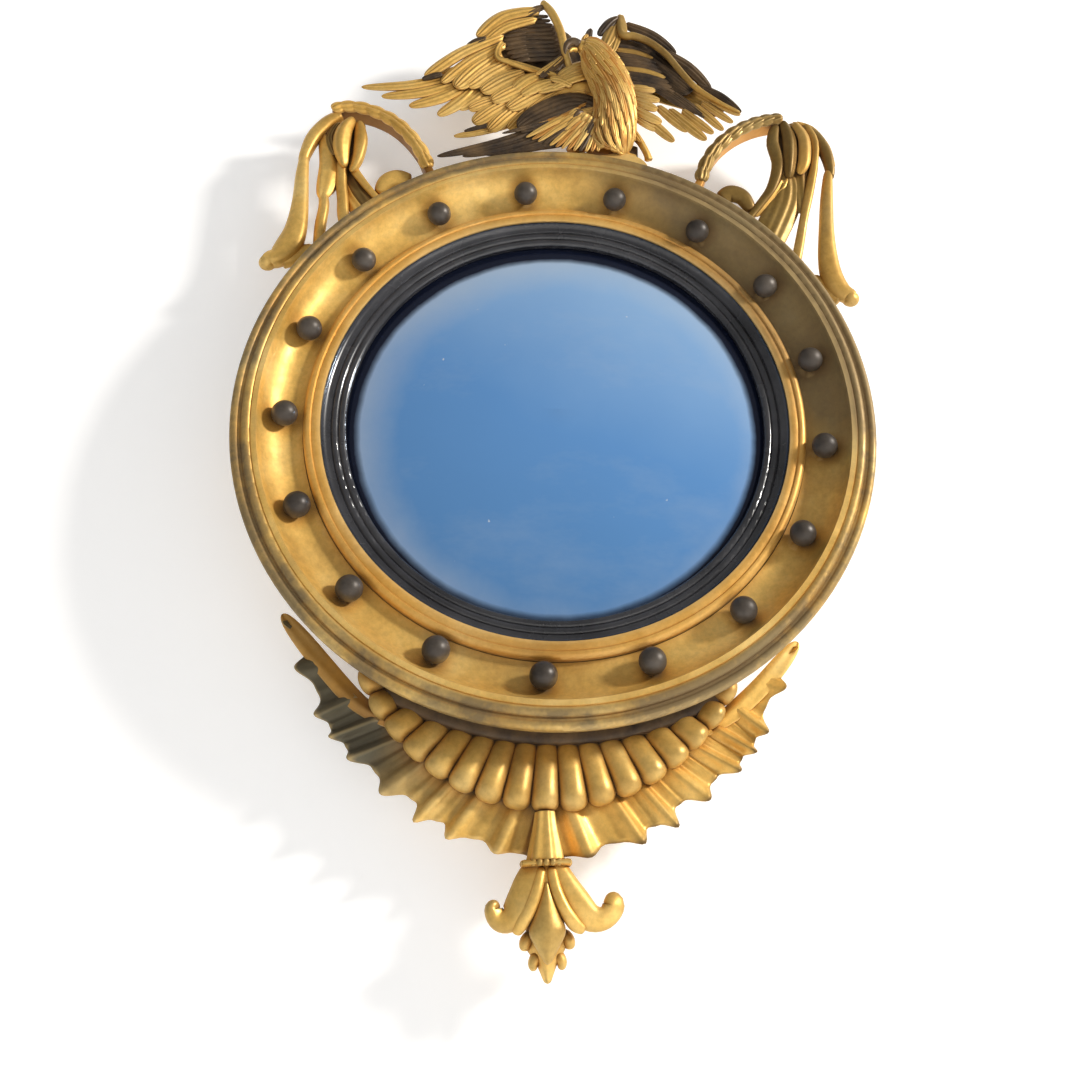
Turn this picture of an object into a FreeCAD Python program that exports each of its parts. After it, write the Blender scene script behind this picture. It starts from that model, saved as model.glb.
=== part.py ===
import FreeCAD, Part
import Sketcher
import math
import os
import re

# A round convex wall mirror: turned gilt frame with balls in its cove, ebonised slip, bulging glass,
# eagle crest, two leaf scrolls, gadrooned apron with acanthus leaves and a leaf pendant.
# Every piece is modelled in wall axes: x to the right, y up, z away from the wall, with the origin on
# the glass's axis at the backboard's rear face. FACING turns them so that up is +Z and the front -Y.

doc = FreeCAD.newDocument("ConvexMirror")
Vector = FreeCAD.Vector
constraint = Sketcher.Constraint
FACING = FreeCAD.Rotation(Vector(1, 0, 0), 90)
BALL_COUNT = 17
BALL_START = -91.2  # degrees: the lowest ball sits a little left of the bottom
SCREW_COUNT = 12
BLOCK_COUNT = 8
LOBE_COUNT = 17

# ---------------------------------------------------------------- driving dimensions, millimetres
DIMENSIONS = [
    # turned frame
    ("ball_circle", 275), ("ball_radius", 13), ("peg_radius", 3), ("peg_length", 10), ("peg_gap", 0.1),
    ("rim_radius", 326), ("rim_back", 302), ("rim_waist", 318), ("waist_height", 36),
    ("cove_outer", 299.6), ("cove_edge", 67.6), ("cove_inner", 258), ("cove_floor", 38),
    ("cove_rise", 10.4),
    ("ring_bore", 244), ("ledge_radius", 259), ("ledge_height", 30),
    ("bead_inner", 240.9), ("bead_top", 47.5), ("fit_gap", 0.3),
    # reeded slip, glass and back
    ("slip_sight", 217), ("slip_flange", 243.5), ("slip_back", 20.7),
    ("reed_width", 7.4), ("reed_rise", 2.2),
    ("glass_radius", 221), ("glass_bulge", 24), ("glass_thick", 4), ("glass_seat", 21),
    ("board_radius", 257), ("board_thick", 12), ("board_screw_circle", 250.5), ("board_bevel", 4),
    ("screw_radius", 2), ("screw_head", 4), ("screw_length", 24), ("block_length", 40), ("block_width", 26),
    # hanging hardware
    ("hanger_side", 256), ("hanger_hinge", 112), ("strap_length", 28), ("strap_width", 15),
    ("strap_thick", 1.6), ("ring_wire", 1.6), ("ring_width", 20), ("ring_drop", 17), ("hinge_gap", 0.35),
    # crest
    ("perch_width", 96), ("perch_side", 48), ("perch_top", 340), ("perch_depth", 38), ("feather_thick", 6),
    # battens behind the ornaments
    ("batten_thick", 10), ("batten_start", 262), ("batten_width", 34), ("apron_batten_width", 20),
    ("crest_batten_end", 430), ("scroll_batten_end", 350), ("apron_batten_end", 422),
    ("batten_screw", 1.8), ("batten_screw_head", 3.6),
    # side scrolls
    ("band_radius", 97), ("band_thick", 11), ("band_depth", 28), ("left_scroll_top", 398),
    ("left_scroll_foot", 188), ("left_scroll_reach", 322), ("right_scroll_top", 418),
    ("right_scroll_foot", 163), ("right_scroll_reach", 330), ("knob_radius", 10),
    # apron and pendant
    ("apron_centre", 200), ("apron_radius", 189), ("lobe_radius", 13.3), ("lobe_root", 116),
    ("lobe_narrow", 9), ("lobe_height", 27), ("leaf_thick", 8), ("leaf_start", 305),
    ("stem_top", 386), ("stem_radius", 9), ("stem_flare", 16), ("stem_height", 27),
    ("collar_level", 428), ("collar_radius", 23), ("collar_thick", 6),
    ("pendant_end", 524), ("left_curl", 9), ("right_curl", 11), ("pendant_lean", 3),
]

sizes = doc.addObject("Spreadsheet::Sheet", "Sizes")
for row, (alias, number) in enumerate(DIMENSIONS, start=1):
    sizes.set("A%d" % row, alias.replace("_", " "))
    sizes.set("B%d" % row, str(number))
    sizes.setAlias("B%d" % row, alias)
doc.recompute()

NAMES = sorted((alias for alias, number in DIMENSIONS), key=len, reverse=True)
ALIAS_PATTERN = re.compile(r"\b(" + "|".join(NAMES) + r")\b")


def bound(text):
    """The expression that reads the sheet's cells for the size names in text."""
    return ALIAS_PATTERN.sub(r"Sizes.\1", str(text))


def size(text):
    """The present value of an expression of size names."""
    return float(sizes.evalExpression(bound(text)))


def vec(x, y, z=0.0):
    return Vector(size(x), size(y), size(z))


KEPT = []


def keep(piece, node, base=None):
    """Labels a finished sub-part, places it in the object's frame and lists it for export. base is the
    place of its origin in wall axes, as three expressions."""
    piece.Label = node
    spot = vec(*base) if base else Vector(0, 0, 0)
    piece.Placement = FreeCAD.Placement(FACING.multVec(spot), FACING).multiply(piece.Placement)
    if base:
        piece.setExpression("Placement.Base.x", bound(base[0]))
        piece.setExpression("Placement.Base.y", bound("-(%s)" % base[2]))
        piece.setExpression("Placement.Base.z", bound(base[1]))
    KEPT.append(piece)


# ---------------------------------------------------------------- sketches and turned bodies
def plane_of(body, role):
    return next(f for f in body.Origin.OriginFeatures if f.Role == role)


def draw_outline(sketch, outline):
    """A closed outline of straight runs and arcs. Each entry is (x, y) or (x, y, rise), where rise is
    the height of the arc that leads to the next point, to the left of the way there."""
    count = len(outline)
    points = [vec(p[0], p[1]) for p in outline]
    for i, point in enumerate(points):
        after = points[(i + 1) % count]
        if len(outline[i]) == 3:
            along = after - point
            side = Vector(-along.y, along.x, 0).normalize()
            middle = (point + after) * 0.5 + side * size(outline[i][2])
            sketch.addGeometry(Part.Arc(point, middle, after), False)
        else:
            sketch.addGeometry(Part.LineSegment(point, after), False)
    ends = [(1, 2)] * count
    for i in range(count):
        if len(outline[i]) == 3 and size(outline[i][2]) > 0:
            ends[i] = (2, 1)  # an arc is stored anticlockwise, so this one starts at its far end
    for i in range(count):
        after = (i + 1) % count
        sketch.addConstraint(constraint("Coincident", i, ends[i][1], after, ends[after][0]))
    for i, entry in enumerate(outline):
        for kind, text, number in zip(("DistanceX", "DistanceY"), entry, points[i]):
            at = sketch.addConstraint(constraint(kind, -1, 1, i, ends[i][0], number))
            sketch.setExpression("Constraints[%d]" % at, bound(text))
        if len(entry) == 3:
            following = outline[(i + 1) % count]
            rise = "abs(%s)" % entry[2]
            span = "((%s) - (%s))^2 + ((%s) - (%s))^2" % (following[0], entry[0], following[1], entry[1])
            radius = "(%s) / (8 * %s) + %s / 2" % (span, rise, rise)
            at = sketch.addConstraint(constraint("Radius", i, size(radius)))
            sketch.setExpression("Constraints[%d]" % at, bound(radius))


def new_sketch(body, name, role):
    sketch = body.newObject("Sketcher::SketchObject", name)
    sketch.AttachmentSupport = [(plane_of(body, role), "")]
    sketch.MapMode = "FlatFace"
    return sketch


def turned(name, outline):
    """A body turned about the mirror's axis from an outline of (radius, height off the wall)."""
    body = doc.addObject("PartDesign::Body", name + "_body")
    sketch = new_sketch(body, name + "_profile", "XZ_Plane")
    draw_outline(sketch, outline)
    turn = body.newObject("PartDesign::Revolution", name + "_turning")
    turn.Profile = sketch
    turn.ReferenceAxis = (sketch, ["V_Axis"])
    turn.Angle = 360
    sketch.Visibility = False
    return body


def reeds(first, count):
    """Half-round reeds between V grooves, from the radius first inwards."""
    outline = []
    for i in range(count):
        x = "%s - %d * reed_width" % (first, i)
        outline.append((x, "34.8 - %g" % (1.6 * i), "-reed_rise"))
    return outline


def cove_arc():
    """Centre (radius, height) and radius of the cove's arc, from its two edges and its rise."""
    outer = vec("cove_outer", "cove_edge")
    inner = vec("cove_inner + fit_gap + 1", "cove_floor")
    run = inner - outer
    rise = size("cove_rise")
    radius = run.Length ** 2 / (8 * rise) + rise / 2
    side = Vector(-run.y, run.x, 0).normalize()
    centre = (outer + inner) * 0.5 - side * (radius - rise)
    return centre.x, centre.y, radius


def ball_height():
    """Height of a ball's centre off the wall when it all but touches the cove."""
    across, up, radius = cove_arc()
    reach = radius - size("ball_radius + fit_gap")
    return up - math.sqrt(reach ** 2 - (size("ball_circle") - across) ** 2)


def drill_peg_holes(ring):
    """Blind holes for the balls' pegs, from the cove towards the back."""
    floor = ball_height() - size("ball_radius + peg_length + fit_gap")
    sketch = new_sketch(ring, "peg_hole_sketch", "XY_Plane")
    sketch.AttachmentOffset = FreeCAD.Placement(Vector(0, 0, floor), FreeCAD.Rotation(BALL_START, 0, 0))
    sketch.addGeometry(Part.Circle(Vector(size("ball_circle"), 0, 0), Vector(0, 0, 1),
                                   size("peg_radius + peg_gap")), False)
    sketch.addConstraint(constraint("PointOnObject", 0, 3, -1))
    at = sketch.addConstraint(constraint("DistanceX", -1, 1, 0, 3, size("ball_circle")))
    sketch.setExpression("Constraints[%d]" % at, bound("ball_circle"))
    at = sketch.addConstraint(constraint("Radius", 0, size("peg_radius + peg_gap")))
    sketch.setExpression("Constraints[%d]" % at, bound("peg_radius + peg_gap"))
    hole = ring.newObject("PartDesign::Pocket", "peg_hole")
    hole.Profile = sketch
    hole.Type = "ThroughAll"
    hole.Reversed = True
    sketch.Visibility = False
    pattern = ring.newObject("PartDesign::PolarPattern", "peg_holes")
    pattern.Originals = [hole]
    pattern.Axis = (plane_of(ring, "Z_Axis"), [""])
    pattern.Angle = 360
    pattern.Occurrences = BALL_COUNT
    ring.Tip = pattern


def build_turned_frame():
    ring = turned("frame_ring", [
        ("ring_bore", "board_thick"),
        ("rim_back", "board_thick", "4"),
        ("rim_waist", "waist_height"),
        ("rim_waist + 2", "waist_height + 2", "-1.6"),
        ("rim_radius", "cove_edge - 6", "-3.2"),
        ("rim_radius - 8.5", "cove_edge - 3"),
        ("rim_radius - 11", "cove_edge - 3.6", "-3.2"),
        ("cove_outer + 6", "cove_edge - 1"),
        ("cove_outer + 5", "cove_edge"),
        ("cove_outer", "cove_edge", "cove_rise"),
        ("cove_inner + fit_gap + 1", "cove_floor"),
        ("ledge_radius + fit_gap", "ledge_height"),
        ("ring_bore", "ledge_height"),
    ])
    drill_peg_holes(ring)
    bead = turned("inner_bead", [
        ("bead_inner", "ledge_height + fit_gap"),
        ("ledge_radius", "ledge_height + fit_gap"),
        ("cove_inner", "cove_floor + 6", "-1.4"),
        ("cove_inner - 7", "bead_top"),
        ("cove_inner - 8.2", "bead_top - 1.6", "-1"),
        ("bead_inner", "bead_top - 2"),
    ])
    keep(bead, "inner_bead_ring")
    slip = turned("slip", [
        ("slip_flange", "slip_back"),
        ("slip_flange", "ledge_height - fit_gap"),
        ("bead_inner - fit_gap", "ledge_height - fit_gap"),
        ("bead_inner - fit_gap", "bead_top - 4", "2"),
        ("slip_sight + 2 * reed_width + 1", "36.6"),
        *reeds("slip_sight + 2 * reed_width", 2),
        ("slip_sight", "31.6"),
        ("slip_sight", "glass_seat + glass_thick + 1.4"),
        ("glass_radius + 1", "glass_seat + glass_thick + 0.4"),
        ("glass_radius + 1", "slip_back"),
    ])
    keep(slip, "ebonised_slip")
    return ring


def build_glass():
    """The bulging glass: the shell between two spheres about one centre, trimmed to a disc."""
    radius, bulge, thick = size("glass_radius"), size("glass_bulge"), size("glass_thick")
    front = (radius ** 2 + bulge ** 2) / (2 * bulge)
    edge = size("glass_seat + glass_thick")
    centre = Vector(0, 0, edge + bulge - front)
    shell = Part.makeSphere(front, centre).cut(Part.makeSphere(front - thick, centre))
    disc = Part.makeCylinder(radius, bulge + edge, Vector(0, 0, edge - thick - 1))
    keep(made_of("glass", shell.common(disc).removeSplitter()), "convex_glass")


# ---------------------------------------------------------------- primitives and booleans
def primitive(kind, name, base=("0", "0", "0"), rotation=None, **bindings):
    """A Part primitive whose sizes and place are read from the sheet."""
    item = doc.addObject("Part::" + kind, name)
    for key, text in bindings.items():
        setattr(item, key, size(text))
        item.setExpression(key, bound(text))
    item.Placement = FreeCAD.Placement(vec(*base), rotation or FreeCAD.Rotation())
    for letter, text in zip("xyz", base):
        item.setExpression("Placement.Base." + letter, bound(text))
    return item


def joined(name, items):
    fuse = doc.addObject("Part::MultiFuse", name)
    fuse.Shapes = items
    return fuse


def cut(name, base, tool):
    made = doc.addObject("Part::Cut", name)
    made.Base = base
    made.Tool = tool
    return made


def made_of(name, shape):
    feature = doc.addObject("Part::Feature", name)
    feature.Shape = shape
    return feature


def build_balls():
    """Seventeen turned balls, each on a peg in the cove, the first at the bottom and then clockwise."""
    for i in range(BALL_COUNT):
        name = "ball_%02d" % (i + 1)
        ball = primitive("Sphere", name + "_knob", Radius="ball_radius")
        peg = primitive("Cylinder", name + "_peg", ("0", "0", "-ball_radius - peg_length"),
                        Radius="peg_radius", Height="peg_length + ball_radius / 2")
        angle = BALL_START - 360.0 / BALL_COUNT * i
        keep(joined(name + "_joined", [ball, peg]), name,
             ("ball_circle * cos(%.6f deg)" % angle, "ball_circle * sin(%.6f deg)" % angle,
              "%.6f" % ball_height()))


# ---------------------------------------------------------------- back of the frame
def round_screw(length, radius, head_radius, head_height, countersunk):
    """A slotted wood screw along +z, its head's top face at z = 0 and its point at z = length."""
    if countersunk:
        head = Part.makeCone(head_radius, radius, head_height)
    else:
        dome = head_radius ** 2 / (2 * head_height) + head_height / 2
        head = Part.makeSphere(dome, Vector(0, 0, dome - head_height))
        head = head.common(Part.makeCylinder(head_radius, head_height, Vector(0, 0, -head_height)))
    shank = Part.makeCylinder(radius, length - 2 * radius, Vector(0, 0, 0))
    point = Part.makeCone(radius, 0.2, 2 * radius, Vector(0, 0, length - 2 * radius))
    screw = head.fuse([shank, point])
    top = 0 if countersunk else -head_height
    slot = Part.makeBox(2 * head_radius + 1, 0.9, 1.0, Vector(-head_radius - 0.5, -0.45, top - 0.1))
    return screw.cut(slot)


def around(shape, count, radius, height, start=0.0):
    """Copies of a shape on a circle, turned to face outwards."""
    copies = []
    for i in range(count):
        copy = shape.copy()
        angle = start + 360.0 / count * i
        copy.rotate(Vector(0, 0, 0), Vector(0, 0, 1), angle)
        copy.translate(Vector(radius * math.cos(math.radians(angle)),
                              radius * math.sin(math.radians(angle)), height))
        copies.append(copy)
    return copies


def build_back():
    board = doc.addObject("PartDesign::Body", "board_body")
    sketch = new_sketch(board, "board_outline", "XY_Plane")
    sketch.addGeometry(Part.Circle(Vector(0, 0, 0), Vector(0, 0, 1), size("board_radius")), False)
    sketch.addConstraint(constraint("Coincident", 0, 3, -1, 1))
    at = sketch.addConstraint(constraint("Radius", 0, size("board_radius")))
    sketch.setExpression("Constraints[%d]" % at, bound("board_radius"))
    pad = board.newObject("PartDesign::Pad", "board_pad")
    pad.Profile = sketch
    pad.Length = size("board_thick")
    pad.setExpression("Length", bound("board_thick"))
    sketch.Visibility = False
    doc.recompute()
    bevel = board.newObject("PartDesign::Chamfer", "board_bevel")
    rear = [i for i, edge in enumerate(pad.Shape.Edges, 1) if abs(edge.BoundBox.ZMax) < 0.01]
    bevel.Base = (pad, ["Edge%d" % rear[0]])
    bevel.Size = size("board_bevel")
    bevel.setExpression("Size", bound("board_bevel"))
    holes = new_sketch(board, "board_holes", "XY_Plane")
    holes.addGeometry(Part.Circle(Vector(size("board_screw_circle"), 0, 0), Vector(0, 0, 1), 2), False)
    holes.addConstraint(constraint("PointOnObject", 0, 3, -1))
    at = holes.addConstraint(constraint("DistanceX", -1, 1, 0, 3, size("board_screw_circle")))
    holes.setExpression("Constraints[%d]" % at, bound("board_screw_circle"))
    at = holes.addConstraint(constraint("Radius", 0, size("screw_radius + fit_gap")))
    holes.setExpression("Constraints[%d]" % at, bound("screw_radius + fit_gap"))
    doc.recompute()
    hole = board.newObject("PartDesign::Hole", "board_hole")
    hole.Profile = holes
    hole.DepthType = "ThroughAll"
    hole.Reversed = True
    hole.Diameter = size("2 * (screw_radius + fit_gap)")
    hole.setExpression("Diameter", bound("2 * (screw_radius + fit_gap)"))
    hole.HoleCutType = "Countersink"
    hole.HoleCutCountersinkAngle = 90
    hole.HoleCutDiameter = size("2 * (screw_head + fit_gap)")
    hole.setExpression("HoleCutDiameter", bound("2 * (screw_head + fit_gap)"))
    holes.Visibility = False
    pattern = board.newObject("PartDesign::PolarPattern", "board_hole_circle")
    pattern.Originals = [hole]
    pattern.Axis = (plane_of(board, "Z_Axis"), [""])
    pattern.Angle = 360
    pattern.Occurrences = SCREW_COUNT
    board.Tip = pattern
    keep(board, "backboard")


PILOTS = []  # what the screws take away from the wood they are driven into


def pilot(length, radius, head_radius, head_height):
    """The room that a screw takes: its shank and its head, with a little to spare."""
    spare = size("peg_gap")
    hole = Part.makeCylinder(radius + spare, length + spare)
    if head_height:
        hole = hole.fuse(Part.makeCone(head_radius + spare, radius + spare, head_height))
    return hole


def drive(screws, pilots, node):
    """One node of screws, and their pilot holes for the pieces they hold."""
    PILOTS.extend(pilots)
    keep(made_of(node + "_set", Part.makeCompound(screws)), node)


def drilled(shape):
    """The shape with the pilot holes of every screw that enters it."""
    entering = [hole for hole in PILOTS if hole.BoundBox.intersect(shape.BoundBox)]
    return shape.cut(entering) if entering else shape


def build_glazing():
    """Small glue blocks that hold the glass and slip forward, and the screws of the backboard."""
    low, high = size("board_thick + fit_gap"), size("slip_back - fit_gap")
    length, width = size("block_length"), size("block_width")
    block = Part.makeBox(width, length, high - low, Vector(-width, -length / 2, 0))
    reach = math.sqrt(size("ring_bore - fit_gap") ** 2 - (length / 2) ** 2)
    blocks = around(block, BLOCK_COUNT, reach, low, 22.5)
    keep(made_of("blocks", Part.makeCompound(blocks)), "glazing_blocks")
    length, radius, circle = size("screw_length"), size("screw_radius"), size("board_screw_circle")
    screw = round_screw(length, radius, size("screw_head"), size("screw_head") - radius, True)
    drive(around(screw, SCREW_COUNT, circle, 0),
          around(pilot(length, radius, 0, 0), SCREW_COUNT, circle, 0), "backboard_screws")


def rim_envelope():
    """What the ornaments are cut back to, so that they nest against the frame's outer side."""
    gap = size("fit_gap")
    back = size("board_thick") - 0.01
    outline = [
        Vector(0, 0, back), Vector(size("rim_back") + gap, 0, back),
        Vector(size("rim_waist") + gap, 0, size("waist_height")),
        Vector(size("rim_waist + 2") + gap, 0, size("waist_height + 2") - 0.5),
        Vector(size("rim_radius") + gap, 0, size("waist_height") + 10),
        Vector(size("rim_radius") + gap, 0, size("cove_edge") + 60), Vector(0, 0, size("cove_edge") + 60),
    ]
    face = Part.Face(Part.makePolygon(outline + outline[:1]))
    return face.revolve(Vector(0, 0, 0), Vector(0, 0, 1), 360)


RIM = rim_envelope()


# ---------------------------------------------------------------- carved forms
def section(place, along, width, depth):
    """An ellipse across the way along, width in the wall's plane and depth off the wall."""
    along = Vector(along).normalize()
    across = Vector(0, 0, 1).cross(along)
    if across.Length < 0.01:
        across = Vector(1, 0, 0)
    across.normalize()
    out = along.cross(across).normalize()
    points = []
    for i in range(8):
        turn = math.radians(45 * i)
        points.append(place + across * (width * math.cos(turn)) + out * (depth * math.sin(turn)))
    curve = Part.BSplineCurve()
    curve.interpolate(points, PeriodicFlag=True)
    return Part.Wire([curve.toShape()])


def eased(stations, parts=2):
    """The stations with more between them, on a smooth curve through the given ones."""
    last = len(stations) - 1
    found = []
    for i in range(last):
        runs = list(zip(stations[max(i - 1, 0)], stations[i], stations[i + 1], stations[min(i + 2, last)]))
        for j in range(parts):
            t = j / parts
            found.append(tuple(b + (c - a) * t / 2 + (a - 2.5 * b + 2 * c - d / 2) * t ** 2
                               + (1.5 * (b - c) + (d - a) / 2) * t ** 3 for a, b, c, d in runs))
    return found + [stations[-1]]


def limb(stations):
    """A carved limb through stations of (x, y, height, half width, half depth)."""
    stations = eased(stations)
    places = [Vector(*station[:3]) for station in stations]
    wires = []
    for i, station in enumerate(stations):
        along = places[min(i + 1, len(places) - 1)] - places[max(i - 1, 0)]
        wires.append(section(places[i], along, station[3], station[4]))
    return Part.makeLoft(wires, True, True)


def plate(outline, low, high):
    """A plate between two heights, its edge a smooth closed curve through corners (x, y)."""
    curve = Part.BSplineCurve()
    curve.interpolate([Vector(x, y, low) for x, y in outline], PeriodicFlag=True)
    return Part.Face(Part.Wire([curve.toShape()])).extrude(Vector(0, 0, high - low))


def fused(pieces):
    whole = pieces[0].fuse(pieces[1:]) if len(pieces) > 1 else pieces[0]
    return whole.removeSplitter()


def blend(first, last, share):
    return first + (last - first) * share


def tier(centre, count, angles, reaches, inner, low, thick, bend=1.0, notch=0.84, lean=0.0, swell=0.12,
         vein=1.6):
    """A row of feathers or leaf lobes carved from one piece: a fan-shaped plate about centre (x, y).

    angles and reaches run from the first tip to the last, in degrees and millimetres, evenly where bend
    is 1. Between tips the edge falls back to the share notch of the reach, and a groove of depth vein
    runs on inwards. lean turns the tips on, and swell is how full their sides are."""
    step = (angles[1] - angles[0]) / (count - 1)

    def spot(turn, reach):
        return Vector(reach * math.cos(math.radians(turn)), reach * math.sin(math.radians(turn)), 0)

    def reach_at(place):
        share = min(max(place / (count - 1), 0), 1)
        return blend(reaches[0], reaches[1], share ** bend)

    notches = [spot(angles[0] + (i - 0.5) * step, notch * reach_at(i - 0.5)) for i in range(count + 1)]
    tips = [spot(angles[0] + i * step + lean, reach_at(i)) for i in range(count)]

    def bulging(first, last, at):
        """An edge that swells outwards by no more than the opening of the notch it starts or ends in."""
        amount = swell
        if 0 < at < count:
            opening = (tips[at - 1] - notches[at]).getAngle(tips[at] - notches[at])
            amount = min(swell, math.tan(0.2 * opening) / 2)
        way = last - first
        aside = Vector(way.y, -way.x, 0) * amount * (1 if step > 0 else -1)
        return Part.Arc(first, (first + last) * 0.5 + aside, last).toShape()

    edges = []
    for i in range(count):
        edges.append(bulging(notches[i], tips[i], i))
        edges.append(bulging(tips[i], notches[i + 1], i + 1))
    last = spot(angles[1] + step / 2, inner)
    first = spot(angles[0] - step / 2, inner)
    edges.append(Part.makeLine(notches[-1], last))
    edges.append(Part.Arc(last, spot((angles[0] + angles[1]) / 2, inner), first).toShape())
    edges.append(Part.makeLine(first, notches[0]))
    row = Part.Face(Part.Wire(edges)).extrude(Vector(0, 0, thick))
    for i in range(1, count):
        turn = angles[0] + (i - 0.5) * step
        way = spot(turn, 1)
        aside = spot(turn + 90, 1)
        begin = spot(turn, inner + 4) + Vector(0, 0, thick)
        wedge = [begin - aside * vein, begin + aside * vein, begin - Vector(0, 0, vein)]
        wedge = [corner + Vector(0, 0, 0.01) for corner in wedge]
        groove = Part.Face(Part.makePolygon(wedge + wedge[:1]))
        row = row.cut(groove.extrude(way * (notches[i].Length + 9 - inner)))
    row.translate(Vector(centre[0], centre[1], low))
    return row


# ---------------------------------------------------------------- crest
def carved(node, shape, against=()):
    """Keeps a carved ornament, cut back to the frame's side and to the pieces it butts against."""
    rest = shape.cut([RIM] + list(against))
    shape = drilled(max(rest.Solids, key=lambda solid: solid.Volume))
    keep(made_of(node + "_form", shape), node)
    return shape


def bar(first, last, width, low, high, rounding):
    """A straight bar between two points of the wall's plane, from one height to another."""
    first, last = Vector(*first), Vector(*last)
    way = last - first
    block = Part.makeBox(way.Length, width, high - low, Vector(0, -width / 2, low))
    upright = [e for e in block.Edges if abs(e.tangentAt(e.FirstParameter).z) > 0.99]
    block = block.makeFillet(rounding, upright)
    block.rotate(Vector(0, 0, 0), Vector(0, 0, 1), math.degrees(math.atan2(way.y, way.x)))
    block.translate(first)
    return block


def build_battens():
    """Pine battens that tie each ornament to the back of the frame, with their screws."""
    top = size("board_thick")
    low = top - size("batten_thick")
    start, width = size("batten_start"), size("batten_width")
    runs = {
        "crest_batten": ((42, start), (42, size("crest_batten_end")), (12, 44, 70, 116)),
        "apron_batten": ((0, -start), (0, -size("apron_batten_end")), (12, 44, 84, 136)),
    }
    for node, turn in (("left_scroll_batten", 125), ("right_scroll_batten", 55)):
        way = (math.cos(math.radians(turn)), math.sin(math.radians(turn)))
        end = size("scroll_batten_end")
        runs[node] = ((way[0] * start, way[1] * start), (way[0] * end, way[1] * end), (12, 32, 74))
    widths = {"apron_batten": size("apron_batten_width")}
    screws, pilots, battens = [], [], []
    length, radius, head = size("batten_thick") + 11, size("batten_screw"), size("batten_screw_head")
    makings = ((round_screw(length, radius, head, head - radius, True), screws),
               (pilot(length, radius, head, head - radius), pilots))
    for node, (first, last, inset) in runs.items():
        wide = widths.get(node, width)
        battens.append((node, bar(first + (0,), last + (0,), wide, low, top, 4)))
        first, last = Vector(*first), Vector(*last)
        way = (last - first).normalize()
        for i, along in enumerate(inset):
            spot = first + way * along + Vector(-way.y, way.x, 0) * (wide / 4) * (-1) ** i
            spot.z = low
            for pattern, found in makings:
                copy = pattern.copy()
                copy.translate(spot)
                found.append(copy)
    drive(screws, pilots, "batten_screws")
    for node, batten in battens:
        keep(made_of(node + "_bar", drilled(batten)), node)


def build_perch():
    width, depth = size("perch_width"), size("perch_depth")
    low, high = size("rim_back"), size("perch_top")
    middle, back = size("perch_side"), size("board_thick")
    top_line = [(-0.5, low), (-0.46, high - 10), (-0.3, high - 2), (-0.1, high - 5), (0.12, high),
                (0.34, high - 3), (0.46, high - 12), (0.5, low)]
    rock = plate([(middle + width * across, level) for across, level in top_line], back, back + depth)
    return carved("eagle_perch", rock)


def build_eagle():
    perch = build_perch()
    body = limb([
        (40, 349, 44, 18, 12), (43, 366, 50, 27, 18), (47, 394, 58, 28, 21), (46, 424, 68, 22, 20),
        (34, 449, 76, 17, 17), (20, 466, 82, 13, 14), (10, 470, 87, 8, 9),
    ])
    body = carved("eagle_body", body)
    beak = limb([
        (9, 471, 88, 7, 6.5), (0, 469, 91.5, 6, 5), (-6, 461, 93, 4, 3.5), (-7, 451, 93, 1.2, 1.2),
    ])
    carved("eagle_beak", beak, [body])
    tail = tier((48, 398), 5, (204, 224), (214, 140), 10, 50, 9, notch=0.84, lean=-2)
    carved("eagle_tail", tail, [body, perch])
    right_leg = limb([(60, 376, 44, 12, 11), (78, 358, 40, 9, 9), (90, 341, 38, 6, 7)])
    carved("eagle_right_leg", right_leg, [body, perch])
    left_leg = limb([(34, 372, 40, 10, 9), (14, 360, 42, 8, 8), (6, 341, 42, 5, 6)])
    carved("eagle_left_leg", left_leg, [body, perch])
    build_left_wing(body)
    build_right_wing(body)


def build_left_wing(body):
    ridge = limb([(22, 438, 52, 9, 9), (-3, 505, 57, 8, 9), (-40, 566, 58, 8, 9)])
    edge = limb([
        (-28, 566, 59, 8, 9), (-76, 549, 53, 11, 9), (-122, 500, 47, 11, 9), (-172, 446, 42, 9, 7),
        (-246, 421, 36, 3, 3),
    ])
    thick = size("feather_thick")
    rows = [
        tier((-62, 478), 7, (197, 268), (188, 122), 10, 31, thick, bend=0.5, lean=-3),
        tier((-48, 492), 6, (199, 285), (128, 96), 10, 36, thick, lean=-3),
        tier((-42, 506), 5, (200, 292), (80, 64), 8, 41, thick, lean=-3),
        plate([(4, 455), (-12, 520), (-40, 558), (-80, 540), (-125, 492), (-174, 441), (-222, 417),
               (-170, 408), (-110, 402), (-60, 398), (-16, 420)], 30, 40),
    ]
    hollow = plate([(2, 502), (-18, 545), (-45, 552), (-90, 520), (-80, 474), (-14, 462)], 29, 50)
    carved("eagle_left_wing", fused([ridge, edge, hollow] + rows), [body])


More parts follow.
